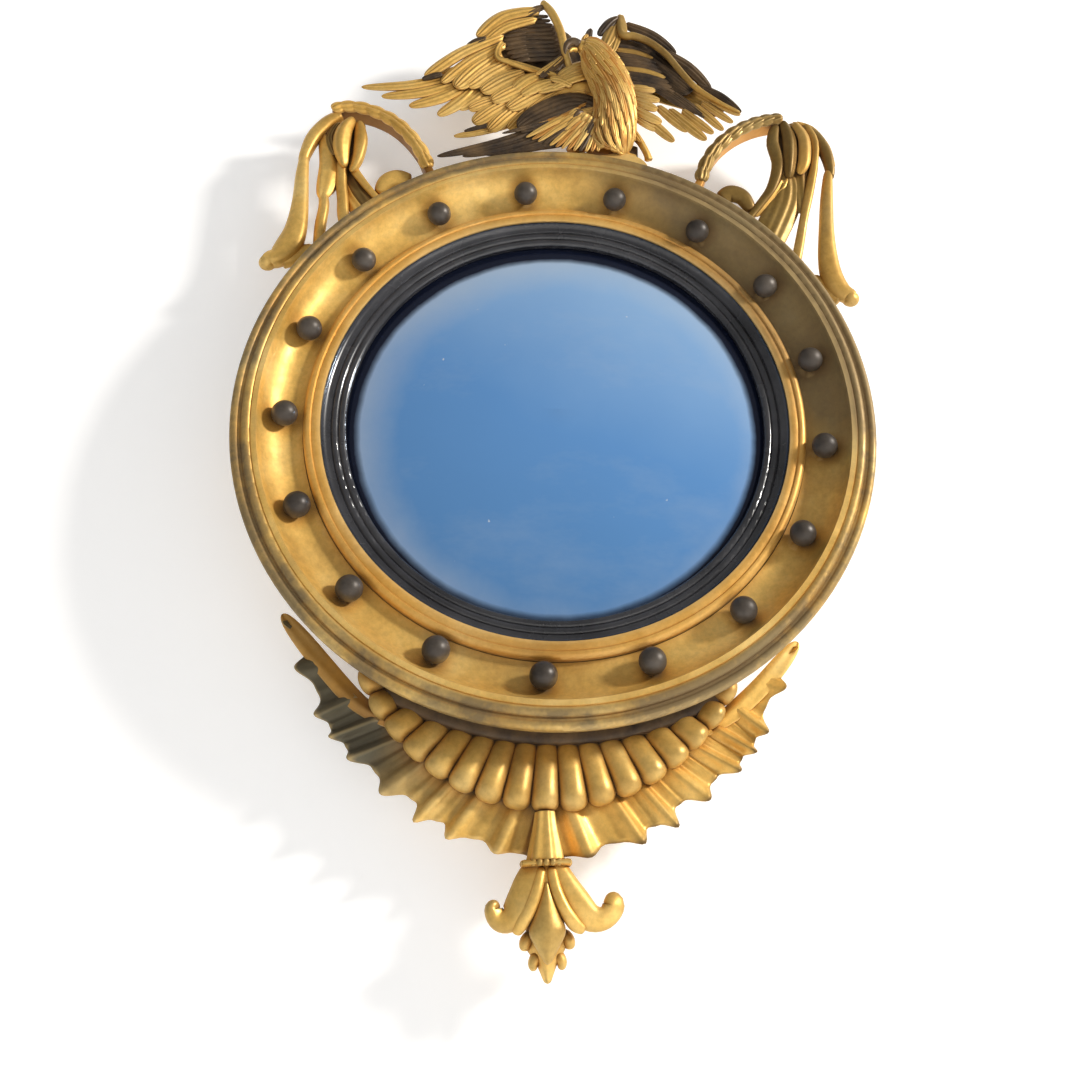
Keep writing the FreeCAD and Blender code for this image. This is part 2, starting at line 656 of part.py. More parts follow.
def build_right_wing(body):
    ridge = limb([(46, 440, 46, 9, 8), (44, 500, 52, 8, 8), (60, 556, 53, 8, 8)])
    edge = limb([
        (50, 552, 53, 9, 8.5), (88, 542, 50, 10, 8), (128, 498, 47, 9, 7.5), (168, 448, 46, 7, 5),
        (212, 414, 50, 3, 3),
    ])
    thick = size("feather_thick")
    rows = [
        tier((76, 462), 6, (-22, -72), (137, 106), 10, 28, thick, lean=3),
        tier((74, 478), 5, (-14, -80), (112, 86), 10, 33, thick, lean=3),
        tier((72, 500), 4, (-20, -84), (74, 66), 8, 38, thick, lean=3),
        plate([(48, 450), (46, 510), (62, 547), (92, 532), (128, 490), (166, 443), (196, 418), (158, 414),
               (116, 402), (76, 408)], 27, 37),
    ]
    hollow = plate([(48, 506), (62, 540), (90, 528), (118, 490), (104, 458), (54, 456)], 26, 45)
    carved("eagle_right_wing", fused([ridge, edge, hollow] + rows), [body])


# ---------------------------------------------------------------- side scrolls
def curved_band(centre, radius, first, last, low):
    """A band bent round a centre, its ends at two angles."""
    thick, depth = size("band_thick"), size("band_depth")
    inner = radius - thick
    middle = math.radians((first + last) / 2)
    corners = []
    for turn in (first, last):
        way = Vector(math.cos(math.radians(turn)), math.sin(math.radians(turn)), 0)
        corners.append((centre + way * radius, centre + way * inner))
    way = Vector(math.cos(middle), math.sin(middle), 0)
    face = Part.Face(Part.Wire([
        Part.Arc(corners[0][0], centre + way * radius, corners[1][0]).toShape(),
        Part.makeLine(corners[1][0], corners[1][1]),
        Part.Arc(corners[1][1], centre + way * inner, corners[0][1]).toShape(),
        Part.makeLine(corners[0][1], corners[0][0]),
    ]))
    band = face.extrude(Vector(0, 0, depth))
    band.translate(Vector(0, 0, low))
    return band


def build_scroll(side, sign):
    """One leaf scroll: a C-shaped band, a husk bud where it curls over, a flaring outer strand that
    ends in a knob, three inner strands to the frame and the volute lump between band and frame."""
    top, foot = size(side + "_scroll_top"), size(side + "_scroll_foot")
    reach, radius = size(side + "_scroll_reach"), size("band_radius")
    back = size("board_thick")
    centre = Vector(sign * (reach - 77), top - radius, 0)
    if sign < 0:
        band = curved_band(centre, radius, -22, 108, back + 2)
    else:
        band = curved_band(centre, radius, 72, 202, back + 2)
    band = carved(side + "_scroll_band", band)

    def at(inset, share, height, width, depth):
        return (sign * (reach - inset), blend(foot, top, share), height, width, depth)

    outer = limb([
        at(60, 0.93, 34, 10, 8), at(35, 0.84, 32, 13, 9), at(27, 0.66, 30, 12, 9), at(28, 0.44, 28, 10, 8),
        at(26, 0.24, 26, 11, 8), at(13, 0.10, 24, 12, 8), at(-2, 0.02, 22, 10, 8),
    ])
    knob = Part.makeSphere(size("knob_radius"), Vector(*at(-5, -0.035, 24, 0, 0)[:3]))
    foot_leaf = limb([at(4, 0.0, 22, 9, 7), at(24, 0.0, 20, 9, 7), at(44, 0.06, 18, 7, 6)])
    outer = carved(side + "_scroll_outer_strand", outer.fuse([knob, foot_leaf]), [band])
    bud = limb([
        at(64, 0.90, 40, 5, 5), at(66, 0.82, 42, 11, 9), at(68, 0.72, 40, 10, 9), at(70, 0.62, 36, 4, 5),
    ])
    bud = carved(side + "_scroll_bud", bud, [band, outer])
    runs = [
        ((62, 0.76), (56, 0.50), (60, 0.20), (72, 0.02), 9),
        ((68, 0.74), (74, 0.50), (84, 0.26), (96, 0.14), 9),
        ((72, 0.76), (90, 0.60), (108, 0.44), (126, 0.36), 10),
    ]
    strands = [limb([at(*a, 28, 7, 6), at(*b, 26, 8, 6), at(*c, 24, widest, 6), at(*d, 20, 7, 6)])
               for a, b, c, d, widest in runs]
    strands = carved(side + "_scroll_inner_strands", fused(strands), [band, outer, bud])
    lump = limb([
        at(112, 0.34, 20, 9, 7), at(124, 0.50, 22, 14, 9), at(142, 0.52, 22, 12, 9), at(160, 0.46, 20, 8, 7),
    ])
    carved(side + "_scroll_volute", lump, [band, strands])


# ---------------------------------------------------------------- apron and pendant
def build_apron():
    """The gadrooned apron: tapering lobes with round ends on a crescent, radiating from one centre."""
    centre = Vector(0, -size("apron_centre"), size("lobe_height"))
    radius, root, narrow = size("lobe_radius"), size("lobe_root"), size("lobe_narrow")
    far = size("apron_radius") - radius
    start, side = Vector(root, 0, 0), Vector(root, narrow, 0)
    shoulder, tip = Vector(far, radius, 0), Vector(far + radius, 0, 0)
    round_end = Part.Arc(shoulder, Vector(far + radius * 0.8, radius * 0.6, 0), tip).toShape()
    outline = Part.Wire([Part.makeLine(start, side), Part.makeLine(side, shoulder), round_end,
                         Part.makeLine(tip, start)])
    lobe = Part.Face(outline).revolve(Vector(0, 0, 0), Vector(1, 0, 0), 360)
    lobe = Part.Solid(lobe) if lobe.ShapeType != "Solid" else lobe
    half = Part.makeBox(800, 800, 100, Vector(-100, -400, size("board_thick") - size("lobe_height") - 100))
    lobe = lobe.cut(half)
    lobes = []
    for i in range(LOBE_COUNT):
        petal = lobe.copy()
        petal.rotate(Vector(0, 0, 0), Vector(0, 0, 1), blend(205, 335, i / (LOBE_COUNT - 1)))
        petal.translate(centre)
        lobes.append(petal)
    return carved("gadroon_apron", fused(lobes))


def build_leaves(apron):
    back = size("board_thick")
    left = tier((0, 0), 9, (218, 265.5), (337, 430), size("leaf_start"), back, size("leaf_thick"),
                notch=0.94, swell=0.2, vein=2.4, lean=-1.2)
    right = tier((0, 0), 9, (322, 274.5), (337, 430), size("leaf_start"), back, size("leaf_thick"),
                 notch=0.94, swell=0.2, vein=2.4, lean=1.2)
    carved("left_acanthus_leaf", left, [apron])
    carved("right_acanthus_leaf", right, [apron])


def build_pendant(apron):
    """The leaf pendant: a fluted stem, a beaded collar, two curling leaves, a bud and a back leaf."""
    back = size("board_thick")
    rear = Part.makeBox(200, 300, 100, Vector(-100, -600, back - 100))
    height = size("stem_height")
    top, collar = -size("stem_top"), -size("collar_level")
    thick = size("collar_thick")
    down = Vector(0, -1, 0)
    head = Vector(0, top, height)
    stem = Part.makeCone(size("stem_radius"), size("stem_flare"), top - collar, head, down)
    flutes = []
    for i in range(5):
        turn = math.radians(30 + 30 * i)
        way = Vector(math.cos(turn), 0, math.sin(turn))
        first = Vector(0, top + 1, height) + way * (size("stem_radius") + 0.6)
        last = Vector(0, collar - 1, height) + way * (size("stem_flare") + 0.9)
        flutes.append(Part.makeCylinder(2, (last - first).Length, first, last - first))
    stem = stem.cut(flutes)
    bead_circle = size("collar_radius") - thick / 2
    ring = Part.makeTorus(bead_circle, thick / 2, Vector(0, collar - thick / 2, height), down)
    core = Part.makeCylinder(bead_circle, thick, Vector(0, collar, height), down)
    made = {"stem": stem.fuse([ring, core])}
    base = collar - thick

    def side_leaf(sign, curl):
        leaf = limb([
            (sign * 8, base, height, 10, 9), (sign * 15, base - 14, height + 1, 13, 10),
            (sign * 26, base - 32, height + 2, 13, 10), (sign * 42, base - 44, height + 1, 8, 8),
        ])
        return leaf.fuse(Part.makeSphere(curl, Vector(sign * 46, base - 38, height + 1)))

    made["left_leaf"] = side_leaf(-1, size("left_curl"))
    made["right_leaf"] = side_leaf(1, size("right_curl"))
    end = -size("pendant_end")
    made["bud"] = limb([
        (0, base, height + 6, 5, 5), (0, base - 18, height + 8, 8, 7), (0, end + 39, height + 8, 16, 9),
        (0, end + 24, height + 6, 9, 6), (0, end + 14, height + 4, 2, 2),
    ])
    made["back_leaf"] = plate([
        (-9, base), (-13, end + 56), (-23, end + 34), (-14, end + 22), (-8, end + 12), (0, end),
        (8, end + 12), (14, end + 22), (23, end + 34), (13, end + 56), (9, base),
    ], back, height - 2)
    done = [rear, apron]
    for name in ("stem", "bud", "left_leaf", "right_leaf", "back_leaf"):
        shape = made[name]
        shape.rotate(head, Vector(0, 0, 1), size("pendant_lean"))
        done.append(carved("pendant_" + name, shape, done))


# ---------------------------------------------------------------- hanging hardware
def build_hangers():
    """Two brass D-ring hangers on the back: a strap folded round the bar of a hinged ring."""
    thick, wire, gap = size("strap_thick"), size("ring_wire"), size("hinge_gap")
    top, hinge = size("board_thick"), size("hanger_hinge")
    knuckle = wire + gap + thick
    level = top - knuckle
    width, length = size("strap_width"), size("strap_length")
    screws, pilots = [], []
    radius = size("batten_screw")
    makings = ((round_screw(14, radius, size("batten_screw_head"), 2.2, False), screws),
               (pilot(14, radius, 0, 0), pilots))
    for side, sign in (("left", -1), ("right", 1)):
        across = sign * size("hanger_side")
        pin = Vector(across - width / 2, hinge, level)
        strap = Part.makeBox(width, length, thick, Vector(across - width / 2, hinge, top - thick))
        strap = strap.makeFillet(5, [e for e in strap.Edges if e.BoundBox.YMin > hinge + length - 0.01
                                     and abs(e.tangentAt(e.FirstParameter).z) > 0.99])
        along = Vector(1, 0, 0)
        strap = strap.fuse(Part.makeCylinder(knuckle, width, pin, along))
        strap = strap.cut(Part.makeCylinder(knuckle - thick, width + 2, pin - along, along))
        for row in (0.42, 0.76):
            spot = Vector(across, hinge + length * row, top - thick)
            strap = strap.cut(Part.makeCylinder(size("batten_screw + peg_gap"), 4, spot - Vector(0, 0, 1)))
            for pattern, found in makings:
                copy = pattern.copy()
                copy.translate(spot)
                found.append(copy)
        keep(made_of("strap_" + side, strap), "hanger_strap_" + side)
        half, bend = size("ring_width") / 2, size("ring_drop") - size("ring_width") / 2
        middle = Vector(across, hinge, level)
        bar_piece = Part.makeCylinder(wire, 2 * half, middle - along * half, along)
        corners = [Part.makeSphere(wire, middle + Vector(turn * half, 0, 0)) for turn in (-1, 1)]
        legs = [Part.makeCylinder(wire, bend, middle + Vector(turn * half, 0, 0), Vector(0, -1, 0))
                for turn in (-1, 1)]
        bow = Part.makeTorus(half, wire, middle - Vector(0, bend, 0), Vector(0, 0, 1))
        bow = bow.common(Part.makeBox(3 * half, 2 * half, 4 * wire,
                                      middle - Vector(1.5 * half, bend + 2 * half, 2 * wire)))
        ring = bar_piece.fuse(corners + legs + [bow]).removeSplitter()
        keep(made_of("ring_" + side, ring), "hanger_ring_" + side)
    drive(screws, pilots, "hanger_screws")


frame = build_turned_frame()
build_glass()
build_balls()
build_back()
build_glazing()
build_battens()
build_eagle()
build_scroll("left", -1)
build_scroll("right", 1)
apron = build_apron()
build_leaves(apron)
build_pendant(apron)
build_hangers()
pilot_holes = made_of("pilot_holes", Part.makeCompound(PILOTS))
doc.recompute()
keep(cut("frame_ring_drilled", frame, pilot_holes), "frame_ring")

# ---------------------------------------------------------------- checks and export
doc.recompute()
faults = []
for item in doc.Objects:
    if "Invalid" in item.State or "Error" in item.State:
        faults.append("%s: %s" % (item.Name, item.State))
for piece in KEPT:
    shape = piece.Shape
    if shape.isNull() or not shape.isValid() or not shape.Solids:
        faults.append("%s has no valid solid" % piece.Label)
if faults:
    raise SystemExit("\n".join(faults))

os.makedirs("parts", exist_ok=True)
for piece in KEPT:
    piece.Shape.exportStep("parts/%s.step" % piece.Label)
    box = piece.Shape.optimalBoundingBox(True, False)
    print("%-22s %2d solids %9.0f mm3  X %.1f..%.1f Y %.1f..%.1f Z %.1f..%.1f" % (
        piece.Label, len(piece.Shape.Solids), piece.Shape.Volume,
        box.XMin, box.XMax, box.YMin, box.YMax, box.ZMin, box.ZMax))
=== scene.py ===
import bpy
import math
import random
from mathutils import Matrix, Vector


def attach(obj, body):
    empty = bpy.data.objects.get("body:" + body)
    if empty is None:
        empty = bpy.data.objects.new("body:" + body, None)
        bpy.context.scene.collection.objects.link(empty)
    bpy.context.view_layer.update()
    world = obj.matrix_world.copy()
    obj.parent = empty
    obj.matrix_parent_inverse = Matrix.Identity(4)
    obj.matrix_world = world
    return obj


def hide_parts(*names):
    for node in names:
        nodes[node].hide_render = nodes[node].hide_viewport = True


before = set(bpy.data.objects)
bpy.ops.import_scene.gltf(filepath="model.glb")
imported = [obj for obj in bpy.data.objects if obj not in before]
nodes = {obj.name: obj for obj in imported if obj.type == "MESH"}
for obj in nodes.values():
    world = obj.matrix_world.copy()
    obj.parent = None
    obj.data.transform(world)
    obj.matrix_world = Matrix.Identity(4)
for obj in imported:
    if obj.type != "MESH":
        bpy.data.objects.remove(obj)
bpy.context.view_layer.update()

scene = bpy.context.scene
MM = 0.001


# ---------------------------------------------------------------- materials
class Shade:
    """A node material with one Principled shader and short calls for the nodes that feed it."""

    def __init__(self, name):
        self.mat = bpy.data.materials.new(name)
        self.mat.use_nodes = True
        self.tree = self.mat.node_tree
        self.tree.nodes.clear()
        self.out = self.node("ShaderNodeOutputMaterial")
        self.bsdf = self.node("ShaderNodeBsdfPrincipled")
        self.link(self.bsdf.outputs[0], self.out.inputs["Surface"])
        self.coords = self.node("ShaderNodeTexCoord").outputs["Object"]

    def node(self, kind, **values):
        made = self.tree.nodes.new(kind)
        for key, value in values.items():
            setattr(made, key, value)
        return made

    def link(self, source, target):
        self.tree.links.new(source, target)

    def noise(self, scale, detail=4.0, rough=0.55, stretch=(1, 1, 1), seed=0.0):
        place = self.node("ShaderNodeMapping")
        place.inputs["Scale"].default_value = stretch
        place.inputs["Location"].default_value = (seed, seed * 0.7, -seed)
        self.link(self.coords, place.inputs["Vector"])
        made = self.node("ShaderNodeTexNoise")
        made.inputs["Scale"].default_value = scale
        made.inputs["Detail"].default_value = detail
        made.inputs["Roughness"].default_value = rough
        self.link(place.outputs[0], made.inputs["Vector"])
        return made.outputs["Fac"]

    def ramp(self, source, *stops):
        """Colours or greys along a value: stops are (position, grey or (r, g, b))."""
        made = self.node("ShaderNodeValToRGB")
        band = made.color_ramp
        while len(band.elements) < len(stops):
            band.elements.new(0.5)
        for element, (at, colour) in zip(band.elements, stops):
            element.position = at
            if isinstance(colour, (int, float)):
                colour = (colour, colour, colour)
            element.color = (*colour, 1)
        self.link(source, made.inputs[0])
        return made.outputs[0]

    def mix(self, factor, first, second, how="MIX"):
        made = self.node("ShaderNodeMix", data_type="RGBA", blend_type=how)
        for socket, value in ((made.inputs[0], factor), (made.inputs[6], first), (made.inputs[7], second)):
            if isinstance(value, (int, float)):
                socket.default_value = value
            elif isinstance(value, tuple):
                socket.default_value = (*value, 1)
            else:
                self.link(value, socket)
        return made.outputs[2]

    def math(self, how, first, second=0.0):
        made = self.node("ShaderNodeMath", operation=how)
        for socket, value in zip(made.inputs, (first, second)):
            if isinstance(value, (int, float)):
                socket.default_value = value
            else:
                self.link(value, socket)
        return made.outputs[0]

    def bump(self, height, strength, distance):
        made = self.node("ShaderNodeBump")
        made.inputs["Strength"].default_value = strength
        made.inputs["Distance"].default_value = distance
        self.link(height, made.inputs["Height"])
        return made.outputs[0]

    def set(self, **values):
        """Sets the shader's inputs, each named with _ for its spaces: a number, a colour or a socket."""
        for key, value in values.items():
            socket = self.bsdf.inputs[key.replace("_", " ")]
            if isinstance(value, (int, float)):
                socket.default_value = value
            elif isinstance(value, tuple):
                socket.default_value = (*value, 1)
            else:
                self.link(value, socket)


def gilding(name, bright=1.0, tarnish=0.5, orange=0.0, grime_and_shade_tone=(0.07, 0.042, 0.02), darkening_slope=None, rim=0.0):
    """Worn oil gilding over gesso: gold rubbed on the edges, with grime and painted shade in the hollows and
    crevices, which turn brown and orange where shade falls. stain darkens the colour along X and Z: how steep
    it is along each, where it starts and how strong it gets; rim is the dust that lies on the outer edge of
    the frame."""
    s = Shade(name)
    tones = ((0.3, (0.60, 0.345, 0.075)), (0.5, (0.78, 0.485, 0.125)), (0.72, (0.88, 0.61, 0.21)))
    gold = s.ramp(s.noise(14, 5), *((at, tuple(bright * part for part in tone)) for at, tone in tones))
    fine = s.ramp(s.noise(170, 3, 0.7), (0.35, 0.84), (0.62, 1.0))
    gold = s.mix(1.0, gold, fine, "MULTIPLY")
    if orange:
        gold = s.mix(orange, gold, (0.62, 0.24, 0.03))
    geometry = s.node("ShaderNodeNewGeometry")
    # Painted shade mixed with grime: the hollows that Pointiness finds turn dark brown.
    recess_grime_and_shade = s.ramp(geometry.outputs["Pointiness"], (0.40, 1.0), (0.495, 0.0))
    grime = s.ramp(s.noise(5, 5, 0.6, seed=3.1), (0.42, 0.0), (0.72, tarnish))
    # Painted shade: ambient occlusion turns the gold orange in half-shade and brown in the crevices between
    # parts.
    around = s.node("ShaderNodeAmbientOcclusion", samples=6)
    around.inputs["Distance"].default_value = 0.013
    occluded_orange_shade = s.ramp(around.outputs["AO"], (0.35, 0.85), (0.97, 0.0))
    gold = s.mix(occluded_orange_shade, gold, (0.56 * bright, 0.22 * bright, 0.012))
    occluded_shade = s.ramp(around.outputs["AO"], (0.15, 0.95), (0.68, 0.0))
    grime_and_shade = s.math("MAXIMUM", s.math("MAXIMUM", s.math("MULTIPLY", recess_grime_and_shade, 0.85), occluded_shade), grime)
    split = s.node("ShaderNodeSeparateXYZ")
    s.link(s.coords, split.inputs[0])
    across, up = split.outputs[0], split.outputs[2]
    # stain darkens the colour along a slope in X and Z; on the frame and the bead it is partly painted
    # shadow.
    if darkening_slope:
        by_x, by_z, start, amount = darkening_slope
        level = s.math("ADD", s.math("MULTIPLY", across, by_x), s.math("MULTIPLY", up, by_z))
        level = s.math("ADD", level, s.math("MULTIPLY", s.noise(4, 4, seed=8.0), 0.5))
        grime_and_shade = s.math("MAXIMUM", grime_and_shade, s.ramp(level, (start, 0.0), (start + 0.17, amount)))
    if rim:
        radius = s.math("SQRT", s.math("ADD", s.math("MULTIPLY", across, across), s.math("MULTIPLY", up, up)))
        dust = s.math("MULTIPLY", s.ramp(radius, (0.304, 0.0), (0.309, rim)),
                      s.ramp(s.noise(11, 5, 0.7, seed=6.0), (0.36, 0.25), (0.56, 1.0)))
        grime_and_shade = s.math("MAXIMUM", grime_and_shade, dust)
    # Grime, painted shade and dust all darken the gold towards one dark tone.
    colour = s.mix(grime_and_shade, gold, grime_and_shade_tone)
    edge = s.ramp(geometry.outputs["Pointiness"], (0.52, 0.0), (0.60, 0.45))
    colour = s.mix(edge, colour, (0.86, 0.62, 0.27))
    rough = s.ramp(s.noise(40, 4, seed=5.0), (0.3, 0.30), (0.7, 0.52))
    s.set(Base_Color=colour, Metallic=0.45, Specular_IOR_Level=0.3,
          Roughness=s.math("ADD", rough, s.math("MULTIPLY", grime_and_shade, 0.2)),
          Normal=s.bump(s.noise(220, 4, 0.65), 0.25, 0.0006))
    return s.mat


def plain(name, dark, light, scale=30, stretch=(1, 1, 1), rough=(0.35, 0.55), metal=0.0, bump=0.2, coat=0.0):
    """A surface whose colour wavers between two tones."""
    s = Shade(name)
    tone = s.ramp(s.noise(scale, 5, 0.6, stretch), (0.32, dark), (0.70, light))
    s.set(Base_Color=tone, Metallic=metal, Specular_IOR_Level=0.4, Coat_Weight=coat,
          Roughness=s.ramp(s.noise(scale * 1.7, 4, seed=2.0), (0.3, rough[0]), (0.7, rough[1])),
          Normal=s.bump(s.noise(scale * 6, 4, 0.6, stretch), bump, 0.0005))
    return s.mat


def silvered(name):
    """The convex glass: old silvering, a little hazy. The stage has no sky for it to reflect, so its colour
    holds a painted reflection of blue sky, and a painted dark rim for the shade and reflection of the slip
    around it."""
    s = Shade(name)
    split = s.node("ShaderNodeSeparateXYZ")
    s.link(s.coords, split.inputs[0])
    across, up = split.outputs[0], s.math("ADD", split.outputs[2], 0.008)
    radius = s.math("SQRT", s.math("ADD", s.math("MULTIPLY", across, across), s.math("MULTIPLY", up, up)))
    level = s.math("ADD", s.math("ADD", split.outputs[2], s.math("MULTIPLY", across, 0.35)),
                   s.math("MULTIPLY", s.noise(5, 4), 0.12))
    # Painted reflection: a blue sky, lighter towards the top and right.
    sky = s.ramp(s.math("ADD", s.math("MULTIPLY", level, 2.0), 0.5), (0.15, (0.115, 0.30, 0.62)),
                 (0.60, (0.15, 0.37, 0.76)), (0.98, (0.34, 0.57, 0.90)))
    lean = s.math("MULTIPLY", s.math("SUBTRACT", up, across), 0.07)
    patches = s.math("MULTIPLY", s.noise(9, 5, 0.65, seed=4.0), 0.05)
    haze = s.ramp(s.math("ADD", s.math("ADD", radius, lean), patches), (0.195, 0.0), (0.245, 0.5))
    streaks = s.ramp(s.noise(3.2, 6, 0.7, (1, 1, 2.2), seed=6.0), (0.50, 0.0), (0.80, 0.25))
    veil = s.math("MAXIMUM", haze, streaks)
    specks = s.ramp(s.noise(95, 2, 0.5, seed=9.0), (0.76, 0.0), (0.79, 0.8))
    colour = s.mix(veil, sky, (0.62, 0.70, 0.78))
    colour = s.mix(specks, colour, (0.8, 0.85, 0.9))
    # Painted shade and reflection: dark navy near the rim, more at the top, where the slip shades and mirrors
    # into the glass.
    ragged = s.math("ADD", radius, s.math("MULTIPLY", s.noise(34, 4, seed=2.0), 0.004))
    colour = s.mix(s.ramp(ragged, (0.2045, 0.0), (0.2085, 1.0)), colour, (0.006, 0.010, 0.028))
    polish = s.ramp(s.noise(60, 3), (0.3, 0.06), (0.7, 0.12))
    s.set(Base_Color=colour, Metallic=0.55, Specular_IOR_Level=0.3, Coat_Weight=0.25, Coat_Roughness=0.03,
          Roughness=s.math("ADD", s.math("MULTIPLY", veil, 0.25), polish))
    return s.mat


# GREY and SLATE are the gilding's dark tone for grime and for painted shade alike.
GREY = (0.095, 0.082, 0.060)
SLATE = (0.085, 0.088, 0.070)
# The frame and the bead are darkened towards their upper right: partly tarnish, partly painted shadow of the
# rim across the cove.
GILT = gilding("gilt_frame", 1.0, 0.5, grime_and_shade_tone=GREY, darkening_slope=(1.3, 1.05, 0.50, 0.78), rim=0.8)
BEAD = gilding("gilt_bead", 1.0, 0.35, orange=0.35, grime_and_shade_tone=GREY, darkening_slope=(1.0, 0.9, 0.46, 0.5))
CARVED = gilding("gilt_carving", 1.04, 0.35)
APRON = gilding("gilt_apron", 0.95, 0.62, grime_and_shade_tone=GREY)
EAGLE = gilding("gilt_eagle", 0.98, 0.5)
# A darker, more orange copy of the eagle's gilding: painted shade on the body between its locks, on some
# locks, the legs and the tail.
EAGLE_SHADED = gilding("gilt_eagle_shaded", 0.66, 0.6, orange=0.7)
RIGHT_WING = gilding("gilt_right_wing", 0.80, 0.9)
SCROLL = gilding("gilt_scroll", 1.08, 0.12)
RIGHT_SCROLL = gilding("gilt_right_scroll", 0.86, 0.95, orange=0.12, grime_and_shade_tone=(0.06, 0.05, 0.035))
DARK_GILT = gilding("gilt_brown", 0.34, 0.85)
LEFT_BAND = gilding("gilt_left_band", 0.20, 0.5, orange=0.35)
RIGHT_BAND = gilding("gilt_right_band", 0.75, 0.4, orange=0.55)
LEFT_LEAF = gilding("gilt_left_leaf", 0.92, 0.8, grime_and_shade_tone=SLATE, darkening_slope=(-1.6, 0.4, 0.20, 0.92))
# A darker copy of the gilding, used on the left rib alone: painted shade on a face turned from the light.
LEFT_RIB = gilding("gilt_left_rib", 0.6, 0.9, orange=0.3, grime_and_shade_tone=SLATE)
BUD = gilding("gilt_bud", 0.80, 0.7)
BRONZED = plain("bronzed_ball", (0.028, 0.022, 0.018), (0.095, 0.078, 0.062), 26,
                rough=(0.36, 0.55), metal=0.25)
# Dark brown: the beak's own paint, and painted shade on the tail, the backing leaves and dark feathers of the
# wings, the legs and the gap under the frame.
DARK_PAINT_AND_SHADE = plain("dark_paint_and_shade", (0.022, 0.014, 0.009), (0.13, 0.078, 0.034), 34,
                 rough=(0.4, 0.62), metal=0.2)
EBONISED = plain("ebonised", (0.012, 0.012, 0.014), (0.045, 0.045, 0.050), 12,
                 rough=(0.14, 0.34), bump=0.12, coat=0.4)
PINE = plain("pine", (0.25, 0.155, 0.075), (0.42, 0.28, 0.15), 9, stretch=(1, 1, 9), rough=(0.6, 0.8))
BRASS = plain("brass", (0.34, 0.23, 0.08), (0.56, 0.40, 0.16), 60, rough=(0.28, 0.5), metal=1.0)
STEEL = plain("steel", (0.16, 0.155, 0.15), (0.33, 0.32, 0.31), 80, rough=(0.35, 0.6), metal=1.0)
GLASS = silvered("silvered_glass")


def dress(name, material):
    nodes[name].material_slots[0].material = material


for name in nodes:
    if name.startswith("ball_"):
        dress(name, BRONZED)
    elif name in ("backboard", "glazing_blocks") or name.endswith("batten"):
        dress(name, PINE)
    elif name.endswith("screws"):
        dress(name, STEEL)
    elif name.startswith("hanger"):
        dress(name, BRASS)
    else:
        dress(name, CARVED)
dress("frame_ring", GILT)
dress("inner_bead_ring", BEAD)
dress("ebonised_slip", EBONISED)
dress("convex_glass", GLASS)
dress("eagle_tail", DARK_PAINT_AND_SHADE)
dress("eagle_beak", DARK_PAINT_AND_SHADE)
dress("gadroon_apron", APRON)


# ---------------------------------------------------------------- carving
# Carved pieces are given in wall millimetres: x right, y up, z off the wall. Each one takes the place
# of a node of the frame, and fills much the same room with finer shapes.
FRONT = Vector((0, 0, 1))
BAND_FOOT = 313  # a scroll band's foot stands at this radius, inside the frame's edge
SHADOW_GAP_R = 318  # painted shadow: the dark band between the frame and the apron
GADROON_R = 327  # the gadroons start here, just outside the frame's edge
PENDANT_TOP = -386
PENDANT_LEAN = math.radians(3)
chance = random.Random(17)


def along(points, u):
    """The place at share u of a smooth curve through points of any length."""
    last = len(points) - 1
    first = min(int(u * last), last - 1)
    t = u * last - first
    rows = (points[min(max(first + k, 0), last)] for k in (-1, 0, 1, 2))
    return [b + (c - a) * t / 2 + (a - 2.5 * b + 2 * c - d / 2) * t ** 2
            + (1.5 * (b - c) + (d - a) / 2) * t ** 3 for a, b, c, d in zip(*rows)]


def rounding(u, start, end):
    """How wide a form with rounded ends is at u, as a share: start and end are the ends' lengths."""
    share = 1.0
    if u < start:
        share *= math.sqrt(max(0.0, 1 - ((start - u) / start) ** 2))
    if u > 1 - end:
        share *= math.sqrt(max(0.0, 1 - ((u - 1 + end) / end) ** 2))
    return max(share, 0.03)


def facing_frame(line, i, face):
    """The way across a line of points at i and the way out of it, square to the line and each other."""
    way = (line[min(i + 1, len(line) - 1)] - line[max(i - 1, 0)]).normalized()
    side = way.cross(face).normalized()
    return side, side.cross(way)


